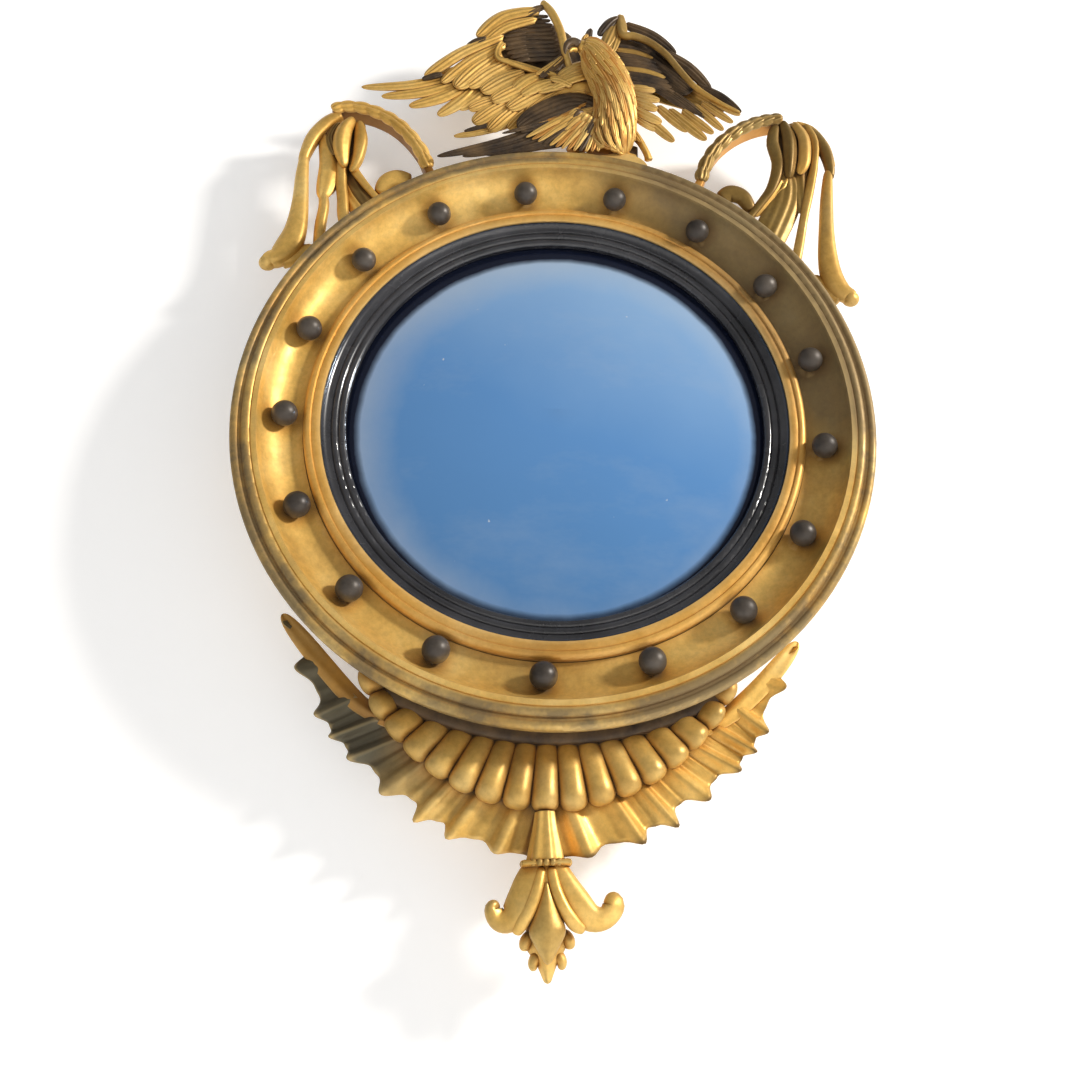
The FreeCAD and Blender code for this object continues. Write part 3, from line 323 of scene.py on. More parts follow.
class Carving:
    """One carved piece: closed forms gathered into one mesh, each with one of the piece's materials."""

    def __init__(self, *materials):
        self.materials = materials
        self.points, self.faces, self.shades = [], [], []

    def tube(self, rings, shade):
        """A closed skin over rings of equally many points."""
        start, size = len(self.points), len(rings[0])
        for ring in rings:
            self.points.extend(ring)
        skin = []
        for i in range(len(rings) - 1):
            for j in range(size):
                a, b = start + i * size + j, start + i * size + (j + 1) % size
                skin.append((a, b, b + size, a + size))
        skin.append(tuple(start + j for j in reversed(range(size))))
        skin.append(tuple(start + (len(rings) - 1) * size + j for j in range(size)))
        self.faces.extend(skin)
        self.shades.extend([shade] * len(skin))

    def leaf(self, spine, half, crown=0.3, thick=3.0, veins=3, groove=0.55, slant=0.5, tip=0.4, neck=0.6,
             face=FRONT, shade=0, stations=20, across=17):
        """A leaf or feather from its root to its tip along spine, half wide, with lengthwise grooves."""
        shares = [math.sin(math.pi / 2 * i / (stations - 1)) for i in range(stations)]
        line = [Vector(along(spine, u)) for u in shares]
        rings = []
        for i, (spot, u) in enumerate(zip(line, shares)):
            side, out = facing_frame(line, i, face)
            cap = rounding(u, 0.02, tip)
            width = half * cap * (neck + (1 - neck) * math.sin(min(u / 0.5, 1) * math.pi / 2))
            ring = []
            for j in range(across):
                v = 2 * j / (across - 1) - 1
                relief = groove * math.cos(math.pi * veins * v + slant * math.tau * u)
                ring.append(spot + side * (width * v) + out * ((crown * half * cap + relief) * (1 - v * v)))
            for v in (1, 0.5, 0, -0.5, -1):
                ring.append(spot + side * (width * v) - out * (thick * cap * (0.45 + 0.55 * (1 - v * v))))
            rings.append(ring)
        self.tube(rings, shade)

    def rod(self, spine, flutes=0, groove=0.0, twist=0.0, square=2.0, start=0.06, end=0.06, shade=0,
            stations=30, around=28):
        """A limb along spine points (x, y, z, half width, half depth), with twisted flutes if asked. Its
        section is round at a square of 2 and nears a box above that."""
        shares = [0.5 - 0.5 * math.cos(math.pi * i / (stations - 1)) for i in range(stations)]
        given = [along(spine, u) for u in shares]
        line = [Vector(row[:3]) for row in given]
        rings = []
        for i, (row, u) in enumerate(zip(given, shares)):
            side, out = facing_frame(line, i, FRONT)
            cap = rounding(u, start, end)
            ring = []
            for j in range(around):
                turn = math.tau * j / around
                c, s = math.cos(turn), math.sin(turn)
                if square != 2.0:
                    c = math.copysign(abs(c) ** (2 / square), c)
                    s = math.copysign(abs(s) ** (2 / square), s)
                swell = cap * (1 + groove * math.cos(flutes * turn + twist * u))
                ring.append(line[i] + side * (row[3] * swell * c) + out * (row[4] * swell * s))
            rings.append(ring)
        self.tube(rings, shade)

    def ruffle(self, inner, outer, folds, rise, low, thick, bite, shade=0, stations=150, across=14):
        """A ruffled leaf between an inner and an outer edge, (x, y) each, with a lobe to each fold."""
        rings = []
        for i in range(stations):
            u = i / (stations - 1)
            root, rim = Vector(along(inner, u)), Vector(along(outer, u))
            turns = math.tau * folds * (0.82 * u + 0.18 * u * u + 0.02 * math.sin(math.tau * 2.3 * u))
            wave = math.cos(turns)
            small = math.cos(2 * turns + 0.5 * math.sin(9 * u))
            fine = math.cos(5 * turns + 0.8)
            depth = bite * (0.85 + 0.35 * math.sin(11 * u))
            cut = depth * (0.5 + 0.5 * wave) ** 2 + 0.28 * depth * (1 - small)
            rim = rim + (root - rim).normalized() * cut
            top, bottom = [], []
            for j in range(across):
                v = j / (across - 1)
                spot = root.lerp(rim, v)
                lift = rise * (0.45 + 0.55 * v) * (0.5 * small - wave) + 0.6 * fine * (1 - v * v)
                curl = 3.0 * v * v
                top.append(Vector((spot.x, spot.y, low + lift + curl)))
                bottom.append(top[-1] - Vector((0, 0, thick * (1 - 0.6 * v))))
            rings.append(top + bottom[::-1])
        self.tube(rings, shade)

    def done(self, node):
        """Makes the piece's mesh, places it in the frame and puts it in the node's place."""
        mesh = bpy.data.meshes.new(node + "_carving")
        mesh.from_pydata([(p.x * MM, -p.z * MM, p.y * MM) for p in self.points], [], self.faces)
        for material in self.materials:
            mesh.materials.append(material)
        mesh.polygons.foreach_set("material_index", self.shades)
        mesh.polygons.foreach_set("use_smooth", [True] * len(self.faces))
        mesh.update()
        piece = bpy.data.objects.new(node + "_carving", mesh)
        scene.collection.objects.link(piece)
        bpy.context.view_layer.update()
        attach(piece, "mirror")
        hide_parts(node)


def feathers(bag, plumes, spread=1.0, sag=0.0, **looks):
    """Feathers (root, tip, half width), each with its sides bowed a little, the way a fan's are."""
    for root, tip, half in plumes:
        root, tip = Vector(root), Vector(tip)
        way = tip - root
        depth = sag * way.length + chance.uniform(-0.5, 0.5) * spread
        bow = Vector((way.y, -way.x, 0)).normalized() * depth
        middle = root.lerp(tip, 0.5) + bow + Vector((0, 0, 1.2))
        bag.leaf([root, middle, tip], half, slant=chance.uniform(0.2, 0.7), **looks)


def plumage(bag, body, rows, columns, span, length, half, first=0.05, last=0.92, tail=0.0):
    """Overlapping locks down the front of a body given as (x, y, z, half width, half depth), some of them
    in the third material."""
    for r in range(rows):
        place = last + (first - last) * r / (rows - 1)
        for c in range(columns):
            shift = 0.5 if r % 2 else 0.0
            turn = math.radians(span) * ((c + shift + 0.25) / columns * 2 - 1)
            spine = []
            for step in (0.0, 0.5, 1.0):
                u = min(max(place + length * (0.5 - step) + chance.uniform(-0.006, 0.006), 0), 1)
                x, y, z, wide, deep = along(body, u)
                ahead = Vector(along(body, min(u + 0.02, 1))[:3])
                behind = Vector(along(body, max(u - 0.02, 0))[:3])
                way = (ahead - behind).normalized()
                side = way.cross(FRONT).normalized()
                out = side.cross(way)
                sway = turn + tail * (1 - u) * (step - 0.5)
                normal = side * math.sin(sway) + out * math.cos(sway)
                skin = Vector((x, y, z)) + side * (wide * math.sin(sway)) + out * (deep * math.cos(sway))
                spine.append(skin + normal * (-0.8 + 4.6 * step))
            bag.leaf(spine, half * chance.uniform(0.75, 1.15), crown=0.6, thick=2.6, veins=2, groove=0.6,
                     face=normal, shade=2 if chance.random() < 0.3 else 0, stations=11, across=11, tip=0.6)


# ---------------------------------------------------------------- eagle
BODY = [(46, 346, 44, 20, 11), (50, 366, 50, 27, 16), (56, 394, 58, 22, 17), (52, 424, 67, 21, 17),
        (38, 450, 75, 20, 15.5), (26, 467, 80, 15, 13), (13, 471, 86, 8.5, 9)]


def carve_body():
    bag = Carving(EAGLE, DARK_PAINT_AND_SHADE, EAGLE_SHADED)
    # The body under the locks is in the darker copy of the gilding: painted shade between the locks.
    bag.rod(BODY, start=0.05, end=0.12, stations=36, shade=2)
    plumage(bag, BODY, 15, 9, 105, 0.30, 3.9, first=0.03, last=0.86, tail=0.9)
    skull = Vector((15, 468, 85))
    bag.rod([(27, 462, 80, 7, 7), (18, 468, 84, 9, 8.5), (8, 470, 87, 6.5, 6.5)], start=0.2, end=0.2,
            flutes=9, groove=0.05)
    for turn in range(9):
        lean = math.radians(-70 + 20 * turn)
        side = Vector((math.sin(lean) * 4, math.cos(lean) * 7, math.cos(lean) * 4))
        root = skull + side
        middle = root + Vector((8, -1, -1)) + side * 0.2
        tip = root + Vector((17, -6, -4)) + side * 0.4
        bag.leaf([root, middle, tip], 2.6, face=side.normalized(), stations=9, across=9, veins=1)
    bag.leaf([(18, 468, 80), (20, 486, 81), (24, 507, 79)], 4.6, shade=1, thick=4)
    bag.leaf([(22, 466, 79), (27, 480, 79), (32, 494, 76)], 4.6, thick=4)
    bag.leaf([(14, 470, 84), (16, 482, 85), (20, 492, 84)], 3.4, thick=3)
    bag.done("eagle_body")

    bag = Carving(DARK_PAINT_AND_SHADE, EAGLE)
    bag.rod([(10, 470, 87, 6, 6.5), (3, 471, 91, 5.6, 5), (-3.5, 466, 92.5, 4.4, 3.6),
             (-6.5, 457, 92.5, 2.6, 2.4), (-6, 449.5, 92, 0.9, 0.9)], start=0.1, end=0.1)
    bag.rod([(8, 463, 86, 3, 3.2), (2, 461, 89, 2.6, 2.6), (-1.5, 455, 90.5, 1.6, 1.6)], shade=1, stations=14)
    bag.done("eagle_beak")


def carve_tail_and_legs():
    bag = Carving(DARK_PAINT_AND_SHADE, EAGLE_SHADED)
    # A broad dark leaf over the body's left side: painted shadow under the wing.
    bag.leaf([(36, 388, 58), (4, 398, 57), (-58, 368, 50)], 25, thick=5, crown=0.15, veins=7, groove=0.9,
             stations=26, across=41)
    tips = [(-149, 321, 50), (-120, 323, 50), (-94, 327, 50), (-70, 333, 50), (-50, 340, 50)]
    roots = [(21, 414, 50), (25, 405, 51), (29, 396, 52), (32, 387, 52), (34, 377, 52)]
    feathers(bag, [(root, tip, 7) for root, tip in zip(roots, tips)], sag=-0.07, groove=1.0, thick=4.5,
             tip=0.6, veins=2, spread=3)
    feathers(bag, [((26, 412 - 8 * k, 60), (-76 + 22 * k, 356 + 3 * k, 55), 3.6) for k in range(5)],
             sag=-0.06, groove=0.8, tip=0.6, veins=2, spread=4)
    feathers(bag, [((22, 404 - 10 * k, 62), (-34 + 14 * k, 372 + 2 * k, 58), 2.6) for k in range(3)],
             sag=-0.06, groove=0.8, tip=0.6, veins=1, spread=4, shade=1)
    bag.done("eagle_tail")

    bag = Carving(EAGLE, DARK_PAINT_AND_SHADE, EAGLE_SHADED)
    bag.rod([(36, 376, 44, 13, 11), (18, 360, 44, 12, 10), (8, 342, 42, 10, 7)], shade=2)
    for k in range(13):
        share = k / 12
        root = (36 + 10 * share, 398 - 12 * share, 62 - 2 * share)
        tip = (-48 + 84 * share, 352 - 17 * math.sin(2.0 * share), 55)
        for row in (0, 1, 2):
            reach = 1 - 0.27 * row
            end = tuple(a + (b - a) * reach for a, b in zip(root, tip))
            start = tuple(a + (b - a) * 0.1 * row for a, b in zip(root, tip))
            swell = (0, 3, 3.0 + 2 * row + chance.uniform(-1, 1))
            bag.leaf([start, [(a + b) / 2 + d for a, b, d in zip(start, end, swell)], end], 4.2,
                     veins=2, shade=(0, 2, 0, 1, 0, 2)[(k + row) % 6], stations=14, across=11, tip=0.6)
    bag.done("eagle_left_leg")

    bag = Carving(EAGLE, DARK_PAINT_AND_SHADE)
    bag.rod([(62, 384, 46, 9, 8), (74, 378, 45, 7, 7), (86, 366, 43, 4.5, 5), (95, 350, 40, 4, 4.5),
             (98, 341, 38, 5, 4)], flutes=5, groove=0.07)
    bag.rod([(66, 376, 46, 6, 6), (66, 358, 46, 4, 4.5), (70, 344, 44, 4, 4), (82, 341, 41, 4.5, 4)])
    # A dark bar behind the leg: painted shade in the gap between leg and body.
    bag.rod([(78, 362, 36, 7, 3), (78, 346, 36, 7, 3)], shade=1)
    feathers(bag, [((60 + 4 * k, 392 - 3 * k, 52), (70 + 6 * k, 366 - 2 * k, 48), 3.4) for k in range(4)],
             veins=2)
    bag.done("eagle_right_leg")


def carve_left_wing():
    bag = Carving(EAGLE, DARK_PAINT_AND_SHADE)
    primaries = [((-133, 456, 42), (-249, 431, 38), 7), ((-126, 448, 41), (-224, 419, 37), 8),
                 ((-119, 443, 41), (-190, 406, 37), 8.5), ((-110, 440, 41), (-155, 394, 37), 9),
                 ((-97, 434, 41), (-131, 405, 38), 8.5)]
    low_row = [((-80, 420, 43), (-119, 404, 40), 9), ((-67, 418, 43), (-112, 383, 39), 11),
               ((-54, 412, 43), (-93, 373, 39), 11), ((-42, 408, 43), (-71, 378, 39), 11),
               ((-28, 408, 43), (-55, 389, 40), 10)]
    mid_row = [((-83, 486, 50), (-136, 431, 46), 14), ((-70, 472, 51), (-122, 434, 46), 13),
               ((-53, 456, 51), (-105, 427, 46), 13), ((-36, 442, 51), (-92, 413, 46), 12),
               ((-18, 435, 51), (-72, 402, 46), 12), ((-4, 430, 51), (-49, 398, 46), 10),
               ((2, 424, 51), (-27, 407, 47), 8)]
    top_row = [((-36, 448, 57), (-66, 429, 52), 8.5), ((-20, 438, 58), (-56, 420, 52), 8),
               ((-4, 433, 58), (-38, 425, 54), 6.5), ((4, 430, 61), (-23, 442, 60), 5.5)]
    edge_row = [((-79, 499, 54), (-153, 438, 46), 7.5), ((-82, 510, 56), (-174, 446, 46), 8)]
    bag.leaf([(10, 440, 36), (-50, 470, 35), (-110, 462, 34), (-190, 432, 34)], 30, thick=4, crown=0.05,
             veins=9, groove=0.5, tip=0.6, stations=30, across=41)
    # Two dark leaves behind the feathers: painted shade in the gaps between them.
    bag.leaf([(0, 470, 38), (-30, 510, 40), (-60, 530, 42)], 38, thick=8, crown=0.05, veins=9, tip=0.5,
             across=41, shade=1)
    bag.leaf([(0, 500, 42), (-46, 508, 43), (-92, 496, 43)], 42, thick=8, crown=0.05, veins=9, tip=0.5,
             across=41, shade=1)
    bag.rod([(40, 440, 50, 12, 10), (16, 440, 52, 16, 9), (-10, 436, 50, 14, 8), (-34, 430, 46, 10, 6)],
            flutes=7, groove=0.05)
    feathers(bag, [((22, 436 - 8 * k, 56), (-20 + 5 * k, 424 - 8 * k, 51), 6) for k in range(4)], sag=0.04)
    feathers(bag, [((34, 466 - 9 * k, 66), (-14 - 3 * k, 446 - 9 * k, 58), 7) for k in range(3)], sag=0.06)
    feathers(bag, primaries, sag=-0.06, thick=4, groove=0.7, tip=0.55, stations=26)
    feathers(bag, [((-66, 386, 37), (-134, 366, 34), 4.6)], sag=-0.03, thick=3.5)
    feathers(bag, [((-72, 388, 39), (-122, 372, 37), 3.4)], shade=1)
    feathers(bag, low_row, sag=0.03, thick=5, groove=1.0, veins=5, across=31)
    feathers(bag, mid_row, sag=0.04, thick=6, groove=1.0, veins=5, stations=24, across=31)
    feathers(bag, top_row, sag=0.04, thick=5, groove=0.6)
    feathers(bag, edge_row, sag=0.05, thick=6, groove=0.9, tip=0.3, stations=26)
    bag.leaf([(-42, 538, 60), (-80, 524, 58), (-106, 501, 53)], 7, thick=6, groove=0.8)
    bag.leaf([(-38, 553, 61), (-84, 541, 58), (-115, 509, 53)], 9, thick=7, groove=0.9, stations=26)
    for root, middle, tip, half in (((-34, 557, 63), (-46, 551, 62), (-58, 543, 59), 5.5),
                                    ((-103, 505, 56), (-115, 500, 55), (-127, 494, 51), 4.5),
                                    ((-153, 449, 49), (-165, 446, 48), (-177, 443, 45), 4.5)):
        bag.leaf([root, middle, tip], half, shade=1, tip=0.5)
    # Dark feathers in the wing's recess: painted shade.
    for k in range(11):
        share = k / 10
        y = 549 - 70 * share
        bow = math.sin(math.pi * (0.15 + 0.75 * share))
        inner = ((-12 - 16 * (1 - share) ** 2, y, 55), (-48 - 22 * bow, y - 4, 52), 3.4)
        outer = ((-46 - 8 * bow, y - 1, 53), (-60 - 24 * bow, y - 6, 50), 3.6)
        feathers(bag, [inner, outer], shade=1, veins=1, thick=2)
    bag.rod([(-37, 566, 60, 4, 5), (-24, 545, 64, 5, 6), (-12, 514, 64, 5, 6), (-6, 484, 62, 4.6, 5.5),
             (2, 456, 58, 4, 5)], flutes=3, groove=0.05, twist=1.0)
    rim = [(-83, 500, 55), (-88, 485, 55), (-86, 472, 55), (-70, 466, 55), (-54, 460, 56), (-33, 452, 57),
           (-14, 446, 57)]
    bag.rod([point + (3.8, 4.5) for point in rim], flutes=5, groove=0.16, twist=9.0, stations=60)
    bag.leaf([(-2, 484, 60), (-16, 466, 61), (-35, 442, 60)], 6.5, shade=1, thick=5)
    bag.leaf([(-8, 476, 62), (-24, 458, 62), (-40, 446, 60)], 4.0, thick=4)
    bag.done("eagle_left_wing")


def carve_right_wing():
    bag = Carving(RIGHT_WING, DARK_PAINT_AND_SHADE)
    gold_row = [((90, 408, 46), (128, 369, 42), 6.5), ((108, 420, 46), (145, 386, 42), 6.5),
                ((122, 416, 46), (167, 374, 42), 7), ((138, 416, 46), (176, 385, 42), 6),
                ((152, 425, 47), (188, 390, 43), 5.5), ((162, 430, 47), (200, 402, 44), 5),
                ((172, 433, 48), (209, 413, 46), 4.5)]
    small_row = [((74, 443, 51), (106, 443, 48), 5.5), ((74, 434, 51), (111, 427, 48), 6),
                 ((74, 424, 51), (108, 412, 48), 6.5), ((74, 412, 51), (113, 393, 47), 7),
                 ((80, 398, 49), (108, 384, 44), 5.5)]
    bag.leaf([(52, 450, 33), (90, 470, 33), (140, 455, 33), (190, 425, 34)], 27, thick=4, crown=0.05, veins=9,
             tip=0.6, stations=30, across=41)
    # Two dark leaves behind the feathers: painted shade in the gaps between them.
    bag.leaf([(46, 462, 36), (66, 500, 38), (92, 516, 40)], 32, thick=8, crown=0.05, veins=9, tip=0.6,
             across=41, shade=1)
    bag.leaf([(66, 536, 41), (104, 492, 42), (150, 448, 42)], 26, thick=6, crown=0.05, veins=9, tip=0.5,
             across=41, shade=1)
    outer = [((68, 549, 50), (132, 506, 46), 8), ((108, 512, 48), (174, 450, 46), 8),
             ((156, 456, 48), (210, 416, 47), 5)]
    feathers(bag, outer, sag=-0.07, thick=6, shade=1, groove=0.9, stations=24)
    feathers(bag, gold_row, sag=0.02, thick=5, groove=0.8, tip=0.45)
    feathers(bag, [((100 + 9 * k, 450 - 3 * k, 48), (140 + 9 * k, 420 - 5 * k, 46), 4.5) for k in range(4)],
             shade=1)
    feathers(bag, small_row, sag=0.03, thick=4, groove=0.7)
    # Feathers in the wing's recess, dark but for two: painted shade.
    for k in range(10):
        share = k / 9
        root = (48 + 24 * share, 520 - 68 * share, 50)
        tip = (96 + 34 * share, 512 - 70 * share, 47)
        feathers(bag, [(root, tip, 4.2)], shade=0 if k in (2, 6) else 1, veins=1, thick=2, sag=-0.03)
    ridge = [(61, 556, 53, 4, 4.5), (64, 524, 56, 4.5, 5), (79, 521, 57, 4.5, 5), (98, 514, 56, 4.2, 4.6),
             (118, 497, 55, 4, 4.4), (136, 471, 54, 3.8, 4.2), (155, 446, 53, 3.4, 3.8),
             (184, 425, 51, 2.8, 3.2), (208, 413, 50, 2, 2.2)]
    bag.rod(ridge, flutes=3, groove=0.06, twist=2.0, stations=60)
    bag.rod([(62, 560, 50, 5, 5), (64, 540, 53, 6.5, 6), (66, 520, 55, 5.5, 5.5)], flutes=5, groove=0.06)
    bag.leaf([(60, 555, 54), (48, 543, 55), (35, 523, 53)], 6.5, shade=1, thick=5)
    bag.leaf([(58, 545, 52), (50, 525, 55), (41, 498, 57)], 8, thick=5)
    bag.leaf([(62, 535, 52), (56, 515, 54), (50, 492, 56)], 6, thick=5)
    bag.done("eagle_right_wing")


# ---------------------------------------------------------------- side scrolls
def carve_band(side, leaf_material, strip_material, outer):
    """The C-shaped band: a smooth strip inside, whose foot runs into the frame, and overlapping leaves
    along its front edge. outer starts at the frame's end."""
    bag = Carving(leaf_material, strip_material)
    low, high, half = 15, 41, 8
    foot = Vector(outer[0]).normalized() * BAND_FOOT
    strip = [(foot.x, foot.y, 24, 5.5, 9)]
    strip += [(x, y, (low + high) / 2, 5.0, (high - low) / 2) for x, y in outer]
    bag.rod(strip, square=6, start=0.01, end=0.05, stations=50, shade=1)
    count = 9
    for k in range(count):
        u0, u1 = max(0.0, (k - 0.45) / count), min(1.0, (k + 1.10) / count)
        line = []
        for j in range(4):
            x, y = along(outer, u0 + (u1 - u0) * j / 3)
            line.append((x, y, high - 1.5 + 2.6 * j / 3))
        bag.leaf(line, half * 1.12, crown=0.5, thick=4, veins=3, groove=0.9, tip=0.6, neck=0.6)
    bag.done(side + "_scroll_band")


def carve_left_scroll():
    outer = [(-159, 312), (-170, 337), (-186, 360), (-204, 378), (-224, 390), (-246, 397), (-266, 397),
             (-279, 391)]
    carve_band("left", SCROLL, LEFT_BAND, outer)
    bag = Carving(SCROLL)
    bag.rod([(-268, 388, 34, 7, 7), (-282, 376, 34, 9, 8), (-296, 354, 33, 9, 8), (-303, 330, 31, 7, 7),
             (-304, 318, 30, 6, 6)], flutes=3, groove=0.06, end=0.1)
    bag.rod([(-304, 332, 31, 5, 6), (-303, 300, 30, 7.5, 7), (-300, 260, 29, 9.5, 8),
             (-300, 226, 28, 12.5, 9), (-305, 202, 27, 15, 10), (-315, 187, 26, 12.5, 10),
             (-326, 184, 25, 9.5, 9.5), (-331, 185, 25, 9, 9)],
            start=0.04, end=0.06, flutes=3, groove=0.06, stations=44)
    bag.rod([(-318, 184, 25, 9, 9), (-327, 181, 25, 10.5, 9.5), (-334, 184, 25, 7, 7)], start=0.4, end=0.5)
    bag.rod([(-312, 183, 23, 9, 8), (-298, 190, 22, 10, 8), (-282, 200, 21, 9, 7), (-254, 182, 21, 9, 7)])
    bag.done("left_scroll_outer_strand")

    bag = Carving(SCROLL, DARK_GILT)
    bag.rod([(-252, 378, 41, 5, 6), (-260, 358, 43, 9, 9), (-261, 335, 42, 9.5, 9), (-257, 316, 39, 6, 6),
             (-255, 308, 37, 3, 4)], flutes=4, groove=0.08, twist=1.4, start=0.12, end=0.15)
    bag.leaf([(-268, 374, 38), (-276, 352, 37), (-268, 326, 37)], 5.5, shade=1, thick=5)
    bag.rod([(-246, 376, 38, 5, 5), (-240, 350, 39, 8, 7), (-241, 322, 37, 6.5, 6.5), (-247, 304, 34, 4, 4)],
            flutes=3, groove=0.10, start=0.1, end=0.1)
    bag.leaf([(-250, 382, 34), (-256, 350, 33), (-262, 312, 31)], 17, shade=1, crown=0.1, thick=5, veins=5,
             across=25)
    bag.done("left_scroll_bud")

    bag = Carving(SCROLL, DARK_GILT)
    bag.leaf([(-286, 362, 30), (-274, 318, 31), (-277, 268, 28)], 12, crown=0.4, thick=7, veins=2, neck=0.5)
    bag.rod([(-281, 330, 27, 5, 5), (-278, 285, 26, 5.5, 5.5), (-274, 262, 25, 6, 6), (-275, 236, 23, 6.5, 6),
             (-274, 212, 21, 6.5, 6), (-270, 190, 20, 7, 6), (-255, 179, 20, 7, 6)], flutes=3, groove=0.09)
    bag.rod([(-259, 322, 31, 7, 7), (-258, 296, 28, 6.5, 6.5), (-254, 272, 25, 6.5, 6), (-249, 244, 21, 7, 6),
             (-230, 211, 19, 7, 6)], flutes=3, groove=0.09)
    bag.leaf([(-252, 322, 24), (-242, 292, 22), (-208, 244, 20)], 11, shade=1, crown=0.25, thick=5)
    bag.leaf([(-256, 304, 21), (-244, 276, 20), (-214, 234, 20)], 11, crown=0.25, thick=5)
    bag.rod([(-242, 334, 33, 5.5, 6), (-247, 316, 31, 5.5, 5.5), (-234, 297, 27, 4.5, 5),
             (-214, 275, 21, 4, 4.5), (-198, 252, 21, 4, 4.5)], flutes=3, groove=0.06)
    bag.leaf([(-262, 330, 27), (-268, 300, 26), (-274, 276, 25)], 8, thick=5)
    bag.done("left_scroll_inner_strands")

    bag = Carving(SCROLL)
    bag.rod([(-216, 285, 20, 6, 6), (-209, 300, 22, 10, 8), (-196, 308, 22, 11, 8), (-180, 306, 20, 9, 7)],
            flutes=3, groove=0.06, start=0.15, end=0.1)
    bag.done("left_scroll_volute")


def carve_right_scroll():
    outer = [(158, 314), (167, 343), (183, 370), (203, 391), (224, 405), (244, 413), (262, 416)]
    carve_band("right", DARK_GILT, RIGHT_BAND, outer)
    bag = Carving(RIGHT_SCROLL, DARK_GILT)
    bag.rod([(284, 404, 35, 6, 7), (301, 394, 35, 7.5, 8), (313, 370, 33, 7.5, 8), (317, 348, 31, 6, 7),
             (316, 336, 30, 5, 6)], flutes=3, groove=0.07, shade=1)
    bag.rod([(278, 411, 38, 3, 4), (298, 403, 38, 3.4, 4), (315, 378, 36, 3.4, 4), (321, 350, 33, 2.8, 3.4)])
    bag.rod([(315, 348, 31, 5, 6), (310, 305, 30, 7.5, 7), (306, 258, 29, 9, 8), (305, 220, 28, 11.5, 9),
             (308, 194, 27, 13, 9.5), (317, 177, 26, 11.5, 9), (327, 171, 25, 9, 9), (333, 171, 25, 8, 8)],
            flutes=3, groove=0.07, stations=44)
    bag.rod([(318, 172, 25, 8, 8), (327, 169, 25, 10, 9), (335, 173, 25, 7, 7)], start=0.4, end=0.5)
    bag.rod([(316, 168, 22, 8, 7), (303, 178, 21, 9, 7), (288, 192, 21, 9, 7), (258, 174, 21, 9, 7)])
    bag.done("right_scroll_outer_strand")

    bag = Carving(RIGHT_SCROLL, DARK_GILT)
    bag.rod([(262, 412, 38, 5, 6), (268, 388, 39, 8, 8), (268, 360, 38, 8, 8), (265, 328, 35, 5, 5)],
            flutes=4, groove=0.11, shade=1, start=0.12, end=0.15)
    bag.leaf([(274, 410, 42), (285, 385, 44), (284, 352, 41), (277, 334, 37)], 7.5, crown=0.45, thick=6,
             veins=1)
    bag.done("right_scroll_bud")

    bag = Carving(RIGHT_SCROLL, DARK_GILT)
    bag.leaf([(262, 412, 31), (279, 372, 31), (270, 300, 27)], 25, crown=0.15, thick=6, veins=6, groove=0.8,
             shade=1, stations=28, across=41, neck=0.75)
    bag.rod([(254, 408, 35, 6, 7), (249, 380, 35, 7.5, 7.5), (254, 350, 33, 7.5, 7), (246, 318, 29, 6.5, 6),
             (233, 298, 25, 5.5, 5.5), (219, 279, 21, 5, 5), (200, 252, 20, 5, 5)], flutes=3, groove=0.09,
            shade=1)
    bag.leaf([(264, 346, 31), (260, 300, 27), (226, 224, 20)], 20, crown=0.25, thick=6, veins=4, tip=0.2,
             neck=0.35, shade=1, stations=26, across=29)
    bag.leaf([(258, 328, 32), (244, 306, 28), (224, 280, 22)], 6.5, thick=5, crown=0.5)
    bag.leaf([(266, 336, 32), (258, 318, 30), (246, 308, 28)], 8, thick=5, crown=0.4)
    bag.rod([(288, 410, 39, 4, 5), (299, 384, 38, 5, 6), (297, 350, 35, 5, 5.5), (288, 306, 31, 5.5, 5.5),
             (281, 276, 28, 5, 5.5), (276, 250, 24, 5.5, 5.5), (270, 222, 20, 6, 5.5),
             (262, 204, 20, 6, 5), (246, 191, 20, 6, 5)], flutes=3, groove=0.09)
    bag.leaf([(282, 356, 33), (280, 318, 30), (280, 282, 28)], 9.5, thick=6, shade=1, veins=2)
    bag.done("right_scroll_inner_strands")

    bag = Carving(DARK_GILT)
    bag.rod([(184, 303, 20, 9, 7), (196, 311, 22, 11, 8), (211, 306, 22, 10, 8), (221, 288, 20, 7, 6)],
            flutes=3, groove=0.05, start=0.12, end=0.12)
    bag.done("right_scroll_volute")


